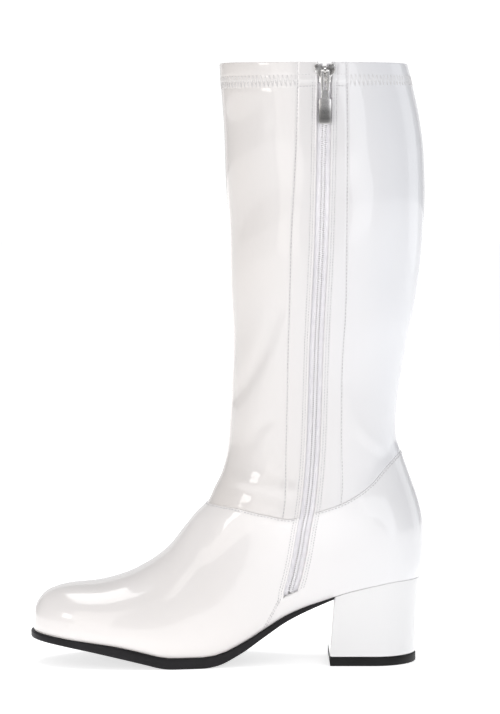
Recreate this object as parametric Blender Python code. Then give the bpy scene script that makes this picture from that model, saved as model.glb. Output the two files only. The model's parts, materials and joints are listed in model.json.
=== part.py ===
"""A women's patent go go boot with a block heel, for the right foot, standing empty.

X runs from the toe to the heel, Y from the inner to the outer side of the foot, and Z up. The origin
is the centre of the heel's ground face. Upper and shaft come from one surface: loops that run round
the foot and leg, numbered from the feather edge (0) up to the collar.
"""

import math

import bmesh
import bpy
import numpy as np

# Foot
FOOT_LENGTH = 0.2621
BALL_WIDTH = 0.090
HEEL_WIDTH = 0.062
TOE_SPRING = 0.0176
TOE_ROUND_LENGTH = 0.036
HEEL_ROUND_LENGTH = 0.030
INSTEP_RISE = 0.0996
COUNTER_RISE = 0.0842
HEEL_CURVE = 0.0157

# Leg
SHAFT_RISE = 0.2573
SEAM_DEPTH = 0.1299
SEAM_DIP = 0.0234
CALF_DEPTH = 0.133
CALF_WIDTH = 0.098
LEG_SETBACK = 0.0658

# Walls, sole and heel
UPPER_WALL = 0.0020
SHAFT_WALL = 0.0015
SEAM_STEP = 0.0005
SEAM_PARTING = 0.00045
HEM_HEIGHT = 0.0125
HEM_STEP = 0.0006
HEEL_HEIGHT = 0.0575
HEEL_BASE_LENGTH = 0.0588
HEEL_BASE_WIDTH = 0.0570
HEEL_OVERHANG = 0.0054
HEEL_BREAST_LEAN = 0.0030
HEEL_SEAT_LENGTH = 0.0608
HEEL_HOLLOW = 0.0006
LIFT_THICKNESS = 0.0062
LIFT_BEVEL = 0.0007
OUTSOLE_THICKNESS = 0.0072
SOLE_LEDGE = 0.0018
SOLE_BEVEL = 0.0008
INSOLE_THICKNESS = 0.0030
INSOLE_CLEARANCE = 0.0012
INSOLE_BEVEL = 0.0010
GAP = 0.0003

# Zip
ZIP_OPENING = 0.0088
ZIP_BOTTOM_LOOP = 2
TAPE_WIDTH = 0.0095
TAPE_THICKNESS = 0.0007
TAPE_PARTING = 0.0026
TAPE_CLEARANCE = 0.0006
TAPE_TOP_DROP = 0.0012
COIL_WIDTH = 0.0048
COIL_CREST = 0.0024
COIL_START = 0.1
COIL_INTO_SLIDER = 0.003
SLIDER_WIDTH = 0.0140
SLIDER_HEIGHT = 0.0125
SLIDER_PLATE = 0.0013
SLIDER_TOP_DROP = 0.0015
SLIDER_BACK_SHARE = 0.9
SLIDER_FOOT_CLEARANCE = 0.0004
POST_DROP = 0.0026
POST_HEIGHT = 0.0026
BRIDGE_WIDTH = 0.0014
BRIDGE_THICKNESS = 0.0010
BRIDGE_HEIGHT = 0.0053
BRIDGE_DROP = 0.0046
PULL_BAR = 0.0012
PULL_LOOP_WIDTH = 0.0056
PULL_LOOP_LENGTH = 0.0135
PULL_LOOP_END = 0.0012
PULL_NECK_WIDTH = 0.0049
PULL_NECK_LENGTH = 0.0038
PULL_TAB_WIDTH = 0.0081
PULL_TAB_LENGTH = 0.0170
PULL_THICKNESS = 0.0010
PULL_CORNER = 0.0007

# Places that follow from the sizes
HEEL_BACK_X = HEEL_BASE_LENGTH / 2 + HEEL_OVERHANG
TOE_X = HEEL_BACK_X - FOOT_LENGTH
ANKLE_BACK_X = HEEL_BACK_X - HEEL_CURVE
ANKLE_FRONT_X = ANKLE_BACK_X - SEAM_DEPTH
LEG_X = HEEL_BACK_X - LEG_SETBACK
COLLAR_Z = HEEL_HEIGHT + COUNTER_RISE + SHAFT_RISE
BREAST_X = HEEL_BACK_X - HEEL_SEAT_LENGTH
HIDDEN_OVERLAP = 0.0004

# The flat spot under the ball, as shares of the foot's length ahead of the heel's back
FLAT_REAR, FLAT_FRONT = 0.565, 0.640

# Underside of the sole and heel seat: place ahead of the heel's back as a share of the foot's length,
# then height as shares of the toe spring and of the heel height.
SOLE_LINE = (
    # ahead, toe, heel
    (-0.02, 0.00, 1.000),
    (0.07, 0.00, 0.980),
    (0.13, 0.00, 0.930),
    (0.19, 0.00, 0.855),
    (0.26, 0.00, 0.725),
    (0.35, 0.00, 0.520),
    (0.41, 0.00, 0.335),
    (0.47, 0.00, 0.150),
    (0.53, 0.00, 0.022),
    (FLAT_REAR, 0.00, 0.000),
    (FLAT_FRONT, 0.00, 0.000),
    (0.70, 0.20, 0.000),
    (0.775, 0.42, 0.000),
    (0.85, 0.65, 0.000),
    (0.92, 0.82, 0.000),
    (1.01, 1.00, 0.000),
)

# Thickness of the sole edge, as a share of the outsole's thickness.
SOLE_EDGE = (
    # ahead, thick
    (0.00, 0.00),
    (0.13, 0.00),
    (0.23, 0.17),
    (0.32, 0.48),
    (0.41, 0.72),
    (0.50, 0.95),
    (0.58, 1.00),
    (0.70, 1.00),
    (0.77, 0.98),
    (0.85, 0.78),
    (0.92, 0.66),
    (1.01, 0.64),
)

# Half widths at the widest level, as shares of the heel's and the ball's width on each side.
PLAN = (
    # ahead, inner heel, inner ball, outer heel, outer ball
    (0.00, 0.50, 0.00, 0.50, 0.00),
    (0.12, 0.50, 0.00, 0.51, 0.00),
    (0.25, 0.49, 0.00, 0.52, 0.00),
    (0.35, 0.36, 0.085, 0.38, 0.12),
    (0.45, 0.18, 0.25, 0.20, 0.285),
    (0.55, 0.04, 0.41, 0.05, 0.44),
    (0.65, 0.00, 0.48, 0.00, 0.505),
    (0.72, 0.00, 0.49, 0.00, 0.510),
    (0.80, 0.00, 0.475, 0.00, 0.465),
    (0.88, 0.00, 0.43, 0.00, 0.370),
    (0.94, 0.00, 0.395, 0.00, 0.280),
    (1.01, 0.00, 0.365, 0.00, 0.205),
)

# Cross sections of the foot: how far the wall tucks in at the feather edge, and how square the crown is.
SECTION = (
    # ahead, tuck, crown
    (0.00, 0.935, 2.00),
    (0.20, 0.93, 2.00),
    (0.35, 0.86, 1.85),
    (0.50, 0.90, 1.90),
    (0.65, 0.94, 2.10),
    (0.80, 0.95, 2.40),
    (1.00, 0.95, 2.70),
)
WIDEST_LEVEL = 0.22
CROWN_POWER = 2.1
TOE_POWER = 2.4
HEEL_POWER = 2.2
LEG_POWER = 2.1

# Loops round the foot. Front: along from toe tip to ankle, and rise above the feather edge as a share
# of the instep's rise. Back: set in as a share of the heel curve, and rise as a share of the
# counter's rise. Dip: from the sag of the sole line (0) to the sag of the ankle seam (1). Leg: from
# the foot's sections (0) to the leg's (1).
FOOT_LOOPS = (
    # front along, front rise, back in, back rise, dip, leg
    (0.005, 0.000, 0.17, 0.000, 0.00, 0.00),
    (0.000, 0.064, 0.06, 0.080, 0.04, 0.00),
    (0.015, 0.161, 0.01, 0.160, 0.09, 0.00),
    (0.080, 0.268, 0.00, 0.245, 0.15, 0.00),
    (0.200, 0.331, 0.00, 0.330, 0.18, 0.01),
    (0.363, 0.369, 0.02, 0.412, 0.24, 0.04),
    (0.518, 0.438, 0.08, 0.483, 0.33, 0.10),
    (0.655, 0.552, 0.19, 0.566, 0.46, 0.20),
    (0.775, 0.690, 0.35, 0.660, 0.62, 0.36),
    (0.870, 0.830, 0.54, 0.756, 0.78, 0.56),
    (0.938, 0.928, 0.75, 0.862, 0.91, 0.78),
    (1.000, 1.000, 1.00, 1.000, 1.00, 1.00),
)

# Sag of the ankle seam below the straight line between its ends.
SEAM_LINE = (
    # along, dip
    (0.00, 0.00),
    (0.15, 0.30),
    (0.30, 0.68),
    (0.45, 0.98),
    (0.58, 0.97),
    (0.68, 0.94),
    (0.76, 0.84),
    (0.84, 0.64),
    (0.92, 0.28),
    (1.00, 0.00),
)

# Loops round the leg: rise as a share of the way from the seam to the collar, reach ahead of and
# behind the leg's axis as shares of the calf's depth, half width as a share of the calf's width, and
# how much of the seam's dip is left.
LEG_LOOPS = (
    # rise, front, back, half width, dip
    (0.035, 0.564, 0.359, 0.378, 0.80),
    (0.075, 0.523, 0.357, 0.381, 0.60),
    (0.130, 0.500, 0.364, 0.388, 0.36),
    (0.200, 0.488, 0.382, 0.400, 0.16),
    (0.280, 0.481, 0.409, 0.420, 0.05),
    (0.370, 0.479, 0.449, 0.446, 0.00),
    (0.470, 0.484, 0.475, 0.470, 0.00),
    (0.570, 0.492, 0.490, 0.490, 0.00),
    (0.670, 0.500, 0.497, 0.500, 0.00),
    (0.770, 0.509, 0.489, 0.501, 0.00),
    (0.860, 0.517, 0.465, 0.498, 0.00),
    (0.930, 0.529, 0.436, 0.494, 0.00),
    (1.000, 0.538, 0.401, 0.490, 0.00),
)
ANKLE_HALF_WIDTH = 0.378

# The zip's middle line: height as a share of the collar's height, and how far it lies ahead of the
# leg's axis as a share of the calf's depth.
ZIP_LINE = (
    # height, ahead
    (0.000, 0.200),
    (0.123, 0.180),
    (0.147, 0.162),
    (0.186, 0.137),
    (0.228, 0.117),
    (0.269, 0.096),
    (0.315, 0.081),
    (0.381, 0.069),
    (0.546, 0.055),
    (0.709, 0.034),
    (0.897, 0.022),
    (1.020, 0.017),
)

# Right half of the slider's front plate: out from its middle as shares of the half width at the
# shoulders and of the half width at the foot, and down from its top as a share of its height.
SLIDER_OUTLINE = (
    # shoulders, foot, down
    (0.18, 0.00, 0.176),
    (0.40, 0.00, 0.032),
    (0.72, 0.00, 0.000),
    (0.95, 0.00, 0.096),
    (1.00, 0.00, 0.256),
    (0.93, 0.00, 0.420),
    (0.00, 1.00, 0.660),
    (0.00, 0.94, 0.936),
    (0.00, 0.78, 1.000),
)

# How finely the loops are sampled, and the least room between neighbouring rows: in loops along the
# shaft, and in height along the zip
FRONT_COLUMNS = 16
ZIP_COLUMNS = 2
BACK_COLUMNS = 10
FOOT_STEPS_PER_LOOP = 2
STATION_ROOM = 0.0025
LOOP_ROOM = 0.2
ZIP_ROW_ROOM = 0.006
ZIP_NORMAL_STEP = 0.002
ZIP_NORMAL_LOOPS = 0.1

SEAM_LOOP = len(FOOT_LOOPS) - 1
COLLAR_LOOP = SEAM_LOOP + len(LEG_LOOPS)
# The first column of leather behind the zip, counted from the front of the boot
ZIP_FIRST_COLUMN = FRONT_COLUMNS
ZIP_LAST_COLUMN = FRONT_COLUMNS + ZIP_COLUMNS


def slopes(xs, ys):
    """Slopes of a smooth curve through the points that never overshoots them."""
    steps = np.diff(ys) / np.diff(xs)
    inner = np.zeros(len(steps) - 1)
    same_way = steps[:-1] * steps[1:] > 0
    inner[same_way] = 2 * steps[:-1][same_way] * steps[1:][same_way] / (steps[:-1] + steps[1:])[same_way]
    return np.concatenate([steps[:1], inner, steps[-1:]])


def smooth(at, xs, ys):
    """The smooth curve's value at each place, held level beyond its ends."""
    xs = np.asarray(xs, float)
    ys = np.asarray(ys, float)
    at = np.clip(np.asarray(at, float), xs[0], xs[-1])
    i = np.clip(np.searchsorted(xs, at, side="right") - 1, 0, len(xs) - 2)
    width = xs[i + 1] - xs[i]
    t = (at - xs[i]) / width
    slope = slopes(xs, ys)
    return (
        ys[i] * (1 + 2 * t) * (1 - t) ** 2
        + ys[i + 1] * t * t * (3 - 2 * t)
        + width * (slope[i] * t * (1 - t) ** 2 - slope[i + 1] * t * t * (1 - t))
    )


def column(table, index):
    return np.array([row[index] for row in table], float)


def read(table, index, at):
    """One column of a table at the places given in its first column."""
    return smooth(at, column(table, 0), column(table, index))


def ahead_of(x):
    return (HEEL_BACK_X - np.asarray(x, float)) / FOOT_LENGTH


def sole_bottom(x):
    ahead = ahead_of(x)
    return TOE_SPRING * read(SOLE_LINE, 1, ahead) + HEEL_HEIGHT * read(SOLE_LINE, 2, ahead)


def sole_top(x):
    """What the upper stands on: the top of the outsole and, behind it, of the heel block."""
    return sole_bottom(x) + OUTSOLE_THICKNESS * read(SOLE_EDGE, 1, ahead_of(x))


def feather(x):
    return sole_top(x) + GAP


def side_widths(x):
    """Widest half widths on the inner and the outer side, before toe and heel are rounded off."""
    ahead = ahead_of(x)
    inner = HEEL_WIDTH * read(PLAN, 1, ahead) + BALL_WIDTH * read(PLAN, 2, ahead)
    outer = HEEL_WIDTH * read(PLAN, 3, ahead) + BALL_WIDTH * read(PLAN, 4, ahead)
    return inner, outer


def rounding(distance, length, power):
    """Share of the full width at a distance from a rounded end."""
    t = 1 - np.clip(np.asarray(distance, float) / length, 0, 1)
    return (1 - t**power) ** (1 / power)


def foot_row_values():
    """Front and back points, dip and leg share of every loop, feather edge to collar."""
    toe_x = TOE_X + column(FOOT_LOOPS, 0) * (ANKLE_FRONT_X - TOE_X)
    toe_z = feather(toe_x) + column(FOOT_LOOPS, 1) * INSTEP_RISE
    heel_x = HEEL_BACK_X - column(FOOT_LOOPS, 2) * HEEL_CURVE
    heel_z = feather(heel_x[0]) + column(FOOT_LOOPS, 3) * COUNTER_RISE
    rise = column(LEG_LOOPS, 0)
    return {
        "front_x": np.concatenate([toe_x, LEG_X - column(LEG_LOOPS, 1) * CALF_DEPTH]),
        "front_z": np.concatenate([toe_z, toe_z[-1] + rise * (COLLAR_Z - toe_z[-1])]),
        "back_x": np.concatenate([heel_x, LEG_X + column(LEG_LOOPS, 2) * CALF_DEPTH]),
        "back_z": np.concatenate([heel_z, heel_z[-1] + rise * (COLLAR_Z - heel_z[-1])]),
        "sole_dip": np.concatenate([1 - column(FOOT_LOOPS, 4), 0 * rise]),
        "seam_dip": np.concatenate([column(FOOT_LOOPS, 4), column(LEG_LOOPS, 4)]),
        "leg": np.concatenate([column(FOOT_LOOPS, 5), 1 + 0 * rise]),
        "leg_width": CALF_WIDTH * np.concatenate([ANKLE_HALF_WIDTH + 0 * toe_x, column(LEG_LOOPS, 3)]),
    }


LOOPS = foot_row_values()
LOOP_NUMBERS = np.arange(COLLAR_LOOP + 1.0)


def loop(name, number):
    return float(smooth(number, LOOP_NUMBERS, LOOPS[name]))


def crest(x):
    """Height of the vamp's ridge above a place, carried on upwards through the leg."""
    xs = list(LOOPS["front_x"][1 : SEAM_LOOP + 1])
    zs = list(LOOPS["front_z"][1 : SEAM_LOOP + 1])
    xs.append(HEEL_BACK_X)
    zs.append(COLLAR_Z)
    return smooth(x, xs, zs)


def foot_half_width(number, x, z):
    """Half width of the foot's cross section at a place and height, on the loop of this number."""
    inner, outer = side_widths(x)
    ahead = ahead_of(x)
    level = np.clip((z - feather(x)) / (crest(x) - feather(x)), 0, 1)
    over = np.clip((level - WIDEST_LEVEL) / (1 - WIDEST_LEVEL), 0, 1)
    under = np.clip((WIDEST_LEVEL - level) / WIDEST_LEVEL, 0, 1)
    crown = (1 - over ** read(SECTION, 2, ahead)) ** (1 / CROWN_POWER)
    tuck = 1 - (1 - read(SECTION, 1, ahead)) * under**2
    toe_start = loop("front_x", number) if number < 1 else TOE_X
    toe = rounding(x - toe_start, TOE_ROUND_LENGTH, TOE_POWER)
    heel = rounding(loop("back_x", number) - x, HEEL_ROUND_LENGTH, HEEL_POWER)
    return (inner + outer) / 2 * crown * tuck * toe * heel


def sole_sag(x):
    """How far the feather edge lies below the straight line between its two ends."""
    edge_x = LOOPS["front_x"][0], LOOPS["back_x"][0]
    edge_z = LOOPS["front_z"][0], LOOPS["back_z"][0]
    return np.interp(x, edge_x, edge_z) - feather(np.clip(x, *edge_x))


def surface(number, along, side):
    """Points of the outer surface on one loop: along from front (0) to back (1), side -1 inner, +1 outer."""
    along = np.asarray(along, float)
    front_x, back_x = loop("front_x", number), loop("back_x", number)
    front_z, back_z = loop("front_z", number), loop("back_z", number)
    x = front_x + along * (back_x - front_x)
    z = front_z + along * (back_z - front_z)
    sag = sole_sag(x) - (1 - along) * sole_sag(front_x) - along * sole_sag(back_x)
    z = z - loop("sole_dip", number) * sag
    z = z - loop("seam_dip", number) * SEAM_DIP * smooth(along, column(SEAM_LINE, 0), column(SEAM_LINE, 1))
    round_leg = (1 - np.abs(2 * along - 1) ** LEG_POWER) ** (1 / LEG_POWER)
    leg = loop("leg", number)
    half = leg * loop("leg_width", number) * round_leg
    if leg < 1:
        half = half + (1 - leg) * foot_half_width(number, x, z)
    inner, outer = side_widths(x)
    bend = (outer - inner) / 2 * (1 - leg)
    return np.stack([x, bend + side * half, z], axis=-1)


def zip_middle(z):
    """Where the zip's middle line lies at a height."""
    return LEG_X - CALF_DEPTH * read(ZIP_LINE, 1, z / COLLAR_Z)


def zip_along(number, offset):
    """Share along a loop at which it passes the zip's middle line, plus an offset towards the heel."""
    front_x, back_x = loop("front_x", number), loop("back_x", number)
    along = 0.5
    for _ in range(4):
        z = float(surface(number, along, -1)[2])
        along = (float(zip_middle(z)) + offset - front_x) / (back_x - front_x)
    return along


def loop_shares(number):
    """Shares along one side of a loop, close together at its ends, with the zip's edges among them."""
    first = zip_along(number, -ZIP_OPENING / 2)
    last = zip_along(number, ZIP_OPENING / 2)
    quarter = math.pi / 2
    front = [first * (1 - math.cos(quarter * i / FRONT_COLUMNS)) for i in range(FRONT_COLUMNS)]
    middle = [first + (last - first) * i / ZIP_COLUMNS for i in range(ZIP_COLUMNS)]
    turns = [quarter * (1 - i / BACK_COLUMNS) for i in range(BACK_COLUMNS + 1)]
    back = [1 - (1 - last) * (1 - math.cos(turn)) for turn in turns]
    return np.array(front + middle + back)


def loop_points(number):
    """A whole loop: inner side front to back, then the outer side back to front."""
    shares = loop_shares(number)
    inner = surface(number, shares, -1)
    outer = surface(number, shares[-2:0:-1], 1)
    return np.concatenate([inner, outer])


FEATHER_X = surface(0, loop_shares(0), -1)[:, 0]
FLAT_X = HEEL_BACK_X - FOOT_LENGTH * np.array([FLAT_FRONT, FLAT_REAR])


def bearing(x):
    """Top of the sole and heel seat, straight between the upper's columns as the upper's edge is."""
    return np.interp(x, FEATHER_X, sole_top(FEATHER_X))


def normals_of(grid):
    """Outward unit normals of a grid of loops that close on themselves."""
    round_step = np.roll(grid, -1, axis=1) - np.roll(grid, 1, axis=1)
    up_step = np.gradient(grid, axis=0)
    normal = np.cross(round_step, up_step)
    return normal / np.linalg.norm(normal, axis=2, keepdims=True)


def new_object(name, points, faces, material, smooth_angle=35):
    mesh = bpy.data.meshes.new(name)
    mesh.from_pydata([tuple(map(float, p)) for p in points], [], faces)
    mesh.validate()
    mesh.materials.append(material)
    obj = bpy.data.objects.new(name, mesh)
    bpy.context.scene.collection.objects.link(obj)
    fix_normals(mesh)
    mesh.shade_smooth()
    mesh.set_sharp_from_angle(angle=math.radians(smooth_angle))
    return obj


def fix_normals(mesh):
    """Turns the faces outwards and joins points that coincide."""
    shape = bmesh.new()
    shape.from_mesh(mesh)
    bmesh.ops.remove_doubles(shape, verts=shape.verts, dist=1e-6)
    bmesh.ops.recalc_face_normals(shape, faces=shape.faces)
    shape.to_mesh(mesh)
    shape.free()


def shell(name, outer, inner, present, material):
    """A wall between two grids of the same shape, over the cells that are present, closed on itself."""
    rows, columns = outer.shape[:2]
    points = np.concatenate([outer.reshape(-1, 3), inner.reshape(-1, 3)])

    def at(row, place, inside):
        return inside * rows * columns + row * columns + place % columns

    def cell(row, place):
        return 0 <= row < rows - 1 and present[row][place % columns]

    faces = []
    for row in range(rows - 1):
        for place in range(columns):
            if not cell(row, place):
                continue
            corners = ((row, place), (row, place + 1), (row + 1, place + 1), (row + 1, place))
            faces.append([at(r, c, 0) for r, c in corners])
            faces.append([at(r, c, 1) for r, c in reversed(corners)])
            beside = ((row - 1, place), (row, place + 1), (row + 1, place), (row, place - 1))
            for i, neighbour in enumerate(beside):
                if cell(*neighbour):
                    continue
                (r0, c0), (r1, c1) = corners[i], corners[(i + 1) % 4]
                faces.append([at(r1, c1, 0), at(r0, c0, 0), at(r0, c0, 1), at(r1, c1, 1)])
    used = sorted({i for face in faces for i in face})
    number = {old: new for new, old in enumerate(used)}
    faces = [[number[i] for i in face] for face in faces]
    return new_object(name, points[used], faces, material)


def cells_without_zip(rows, columns, first_open_row):
    """All cells, less the zip's opening on the inner side from one row up."""
    present = [[True] * columns for _ in range(rows - 1)]
    for row in range(first_open_row, rows - 1):
        for place in range(ZIP_FIRST_COLUMN, ZIP_LAST_COLUMN):
            present[row][place] = False
    return present


def leather(numbers, outward, wall, first_open_row, name, material):
    """A wall of leather over the loops of these numbers, each standing out by its own step."""
    grid = np.array([loop_points(number) for number in numbers])
    normal = normals_of(grid)
    step = np.array(outward)[:, None, None]
    outer = grid + normal * step
    inner = outer - normal * (wall + np.clip(step, 0, None))
    present = cells_without_zip(len(grid), grid.shape[1], first_open_row)
    return shell(name, outer, inner, present, material)


def make_upper(material):
    steps = SEAM_LOOP * FOOT_STEPS_PER_LOOP
    numbers = [i / FOOT_STEPS_PER_LOOP for i in range(steps + 1)]
    outward = [0.0] * len(numbers)
    first_open_row = round(ZIP_BOTTOM_LOOP * FOOT_STEPS_PER_LOOP)
    return leather(numbers, outward, UPPER_WALL, first_open_row, "upper", material)


def make_shaft(material):
    """The leg part starts a gap above the upper and lies back by the seam's step, with a turned hem."""
    first_loop_rise = loop("front_z", SEAM_LOOP + 1) - loop("front_z", SEAM_LOOP)
    hem_loop = collar_loop_at(COLLAR_Z - HEM_HEIGHT)
    edge_loop = collar_loop_at(COLLAR_Z - HEM_HEIGHT + HEM_STEP)
    numbers = [SEAM_LOOP + SEAM_PARTING / first_loop_rise, SEAM_LOOP + 0.5]
    numbers += [SEAM_LOOP + i for i in range(1, len(LEG_LOOPS)) if SEAM_LOOP + i < hem_loop - LOOP_ROOM]
    outward = [-SEAM_STEP] * len(numbers)
    numbers += [hem_loop, edge_loop, (edge_loop + COLLAR_LOOP) / 2, COLLAR_LOOP]
    outward += [-SEAM_STEP] + [HEM_STEP - SEAM_STEP] * 3
    return leather(numbers, outward, SHAFT_WALL, 0, "shaft", material)


def collar_loop_at(z):
    """Number of the loop that passes a height near the collar, at the front."""
    return float(np.interp(z, LOOPS["front_z"], LOOP_NUMBERS))


def band_section(name, numbers, offsets, depths, material):
    """A strip along the zip: across it by offsets from its middle line, at two depths under the surface."""
    points = []
    for number in numbers:
        for depth in depths:
            for offset in offsets:
                points.append(zip_point(number, offset, depth))
    across = len(offsets)
    ring = list(range(across)) + list(range(2 * across - 1, across - 1, -1))
    size = 2 * across
    faces = []
    for row in range(len(numbers) - 1):
        for i, a in enumerate(ring):
            b = ring[(i + 1) % size]
            faces.append([row * size + a, row * size + b, (row + 1) * size + b, (row + 1) * size + a])
    last = (len(numbers) - 1) * size
    for i in range(across - 1):
        faces.append([i, i + 1, across + i + 1, across + i])
        faces.append([last + i + 1, last + i, last + across + i, last + across + i + 1])
    return new_object(name, points, faces, material)


def zip_point(number, offset, depth):
    """A point beside the zip's middle line, at a depth under the outer surface."""
    below = number - ZIP_NORMAL_LOOPS
    here = surface(number, zip_along(number, offset), -1)
    along = surface(number, zip_along(number, offset + ZIP_NORMAL_STEP), -1) - here
    down = surface(below, zip_along(below, offset), -1) - here
    normal = np.cross(down, along)
    normal /= np.linalg.norm(normal)
    return here - normal * depth


def zip_numbers(start, top_z):
    """Loop numbers from the zip's foot up to a height, closer together below the ankle."""
    low = list(np.arange(start, SEAM_LOOP, 1 / FOOT_STEPS_PER_LOOP))
    high = list(np.arange(SEAM_LOOP, COLLAR_LOOP - 1, 1.0))
    return [n for n in low + high if loop("front_z", n) < top_z - ZIP_ROW_ROOM] + [collar_loop_at(top_z)]


def tape_depth():
    """How far the tapes lie under the outer surface: behind the thicker of the two walls."""
    return max(UPPER_WALL, SHAFT_WALL + SEAM_STEP) + TAPE_CLEARANCE


def make_tapes(material):
    depth = tape_depth()
    numbers = zip_numbers(ZIP_BOTTOM_LOOP - 1, COLLAR_Z - TAPE_TOP_DROP)
    inner_edge = TAPE_PARTING / 2
    made = []
    for name, way in (("zip_tape_front", -1), ("zip_tape_back", 1)):
        shares = (0.0, 0.5, 1.0)
        offsets = sorted(way * (inner_edge + TAPE_WIDTH * share) for share in shares)
        made.append(band_section(name, numbers, offsets, (depth, depth + TAPE_THICKNESS), material))
    return made


def make_coil(material):
    back = tape_depth() - TAPE_CLEARANCE
    top_z = COLLAR_Z - SLIDER_HEIGHT + COIL_INTO_SLIDER
    first_row = ZIP_BOTTOM_LOOP + 1 / FOOT_STEPS_PER_LOOP
    numbers = [ZIP_BOTTOM_LOOP + COIL_START] + zip_numbers(first_row, top_z)
    offsets = (-COIL_WIDTH / 2, -COIL_CREST / 2, COIL_CREST / 2, COIL_WIDTH / 2)
    return band_section("zip_coil", numbers, offsets, (SEAM_STEP, back), material)


def foot_edge(x, grow):
    """Sides of the feather outline at a place, grown outwards by an amount: inner y, outer y."""
    inner, outer = side_widths(x)
    tuck = read(SECTION, 1, ahead_of(x))
    toe = rounding(x - (LOOPS["front_x"][0] - grow), TOE_ROUND_LENGTH + grow, TOE_POWER)
    heel = rounding(LOOPS["back_x"][0] + grow - x, HEEL_ROUND_LENGTH + grow, HEEL_POWER)
    half = np.maximum(((inner + outer) / 2 * tuck + grow) * toe * heel, GAP)
    middle = (outer - inner) / 2
    return middle - half, middle + half


def stations(first, last, ends=None, fixed=()):
    """Places along the foot from first to last, at the upper's own columns.

    Other ends may be given, and fixed places, which take over from the columns close to them.
    """
    taken = [first, last, *fixed]
    inside = [x for x in FEATHER_X if first < x < last and min(abs(x - t) for t in taken) > STATION_ROOM]
    start, end = ends or (first, last)
    return np.array([start, *sorted([*inside, *fixed]), end])


def slab(name, levels, material, smooth_angle=35):
    """A solid from outlines one above the other, each a list of stations: x, inner y, outer y, z."""
    count = len(levels[0])
    points = []
    for level in levels:
        points += [(x, inner, z) for x, inner, outer, z in level]
        points += [(x, outer, z) for x, inner, outer, z in level]
    faces = []
    ring = list(range(count)) + list(range(2 * count - 1, count - 1, -1))
    size = 2 * count
    for number in range(len(levels) - 1):
        low, high = number * size, (number + 1) * size
        for i, a in enumerate(ring):
            b = ring[(i + 1) % size]
            faces.append([low + a, low + b, high + b, high + a])
    top = (len(levels) - 1) * size
    for i in range(count - 1):
        faces.append([i + 1, i, count + i, count + i + 1])
        faces.append([top + i, top + i + 1, top + count + i + 1, top + count + i])
    return new_object(name, points, faces, material, smooth_angle)


def outline_level(xs, grow, height):
    inner, outer = foot_edge(xs, grow)
    return list(zip(xs, inner, outer, height))


def make_outsole(material):
    """Bottom, a bevelled lower edge, and the top, which stands out round the upper as a ledge."""
    tip, end = FEATHER_X[0], BREAST_X - GAP
    levels = []
    for grow, level in ((SOLE_LEDGE - SOLE_BEVEL, "floor"), (SOLE_LEDGE, "bevel"), (SOLE_LEDGE, "top")):
        xs = stations(tip - SOLE_LEDGE, end, (tip - grow, end), FLAT_X)
        thickness = bearing(xs) - sole_bottom(xs)
        rise = {"floor": 0 * xs, "bevel": np.minimum(SOLE_BEVEL, thickness / 3), "top": thickness}[level]
        levels.append(outline_level(xs, grow, sole_bottom(xs) + rise))
    return slab("outsole", levels, material)


def heel_base(xs, shrink):
    """Sides of the D-shaped heel base at places along it."""
    back = HEEL_BASE_LENGTH / 2 - shrink
    half = (HEEL_BASE_WIDTH / 2 - shrink) * rounding(back - xs, HEEL_BASE_WIDTH / 2, 2.0)
    return np.maximum(half, GAP)


def base_stations(shrink):
    """Places along the heel's base, spread as the heel seat's stations are."""
    seat = stations(BREAST_X, FEATHER_X[-1])
    share = (seat - seat[0]) / (seat[-1] - seat[0])
    breast, back = BREAST_X - HEEL_BREAST_LEAN + shrink, HEEL_BASE_LENGTH / 2 - shrink
    return breast + (back - breast) * share


def make_heel_block(material):
    """Straight breast, round back, narrowing from the heel seat to its base with a slight hollow."""
    seat = stations(BREAST_X, FEATHER_X[-1])
    seat_inner, seat_outer = foot_edge(seat, 0.0)
    base = base_stations(0.0)
    half = heel_base(base, 0.0)
    floor = LIFT_THICKNESS + GAP
    levels = []
    for up in (0.0, 0.25, 0.5, 0.75, 1.0):
        hollow = HEEL_HOLLOW * math.sin(math.pi * up)
        middle = (seat_inner + seat_outer) / 2 * up
        x = base + (seat - base) * up
        inner = np.minimum(-half + (seat_inner + half) * up + hollow, middle - GAP)
        outer = np.maximum(half + (seat_outer - half) * up - hollow, middle + GAP)
        z = floor + (bearing(seat) - floor) * up
        levels.append(list(zip(x, inner, outer, z)))
    return slab("heel_block", levels, material)


def make_top_lift(material):
    levels = []
    for shrink, z in ((LIFT_BEVEL, 0.0), (0.0, LIFT_BEVEL), (0.0, LIFT_THICKNESS)):
        xs = base_stations(shrink)
        half = heel_base(xs, shrink)
        levels.append(list(zip(xs, -half, half, 0 * xs + z)))
    return slab("top_lift", levels, material)


def make_insole(material):
    """Padded footbed inside the walls, over the outsole and the heel block."""
    grow = -(UPPER_WALL + INSOLE_CLEARANCE)
    start, end = FEATHER_X[0] - grow, FEATHER_X[-1] + grow
    levels = []
    thickness = INSOLE_THICKNESS
    for inset, rise in ((0.0, 0.0), (0.0, thickness - INSOLE_BEVEL), (INSOLE_BEVEL, thickness)):
        xs = stations(start, end, (start + inset, end - inset), (*FLAT_X, BREAST_X))
        height = bearing(xs) + GAP + rise
        levels.append(outline_level(xs, grow - inset, height))
    return slab("insole", levels, material)


def prism(name, outline, low, high, material, across="y"):
    """A flat piece: an outline of (x, z) pairs thick along Y, or of (y, z) pairs thick along X."""
    count = len(outline)
    points = []
    for depth in (low, high):
        for a, b in outline:
            points.append((a, depth, b) if across == "y" else (depth, a, b))
    faces = [list(range(count)), list(range(2 * count - 1, count - 1, -1))]
    faces += [[i, (i + 1) % count, count + (i + 1) % count, count + i] for i in range(count)]
    return new_object(name, points, faces, material)


def join(obj, others):
    """Unites helper shapes with an object and leaves the helpers out of the render."""
    for other in others:
        other.hide_render = True
        other.display_type = "WIRE"
        union = obj.modifiers.new(other.name, "BOOLEAN")
        union.operation = "UNION"
        union.solver = "EXACT"
        union.object = other
    return obj


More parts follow.
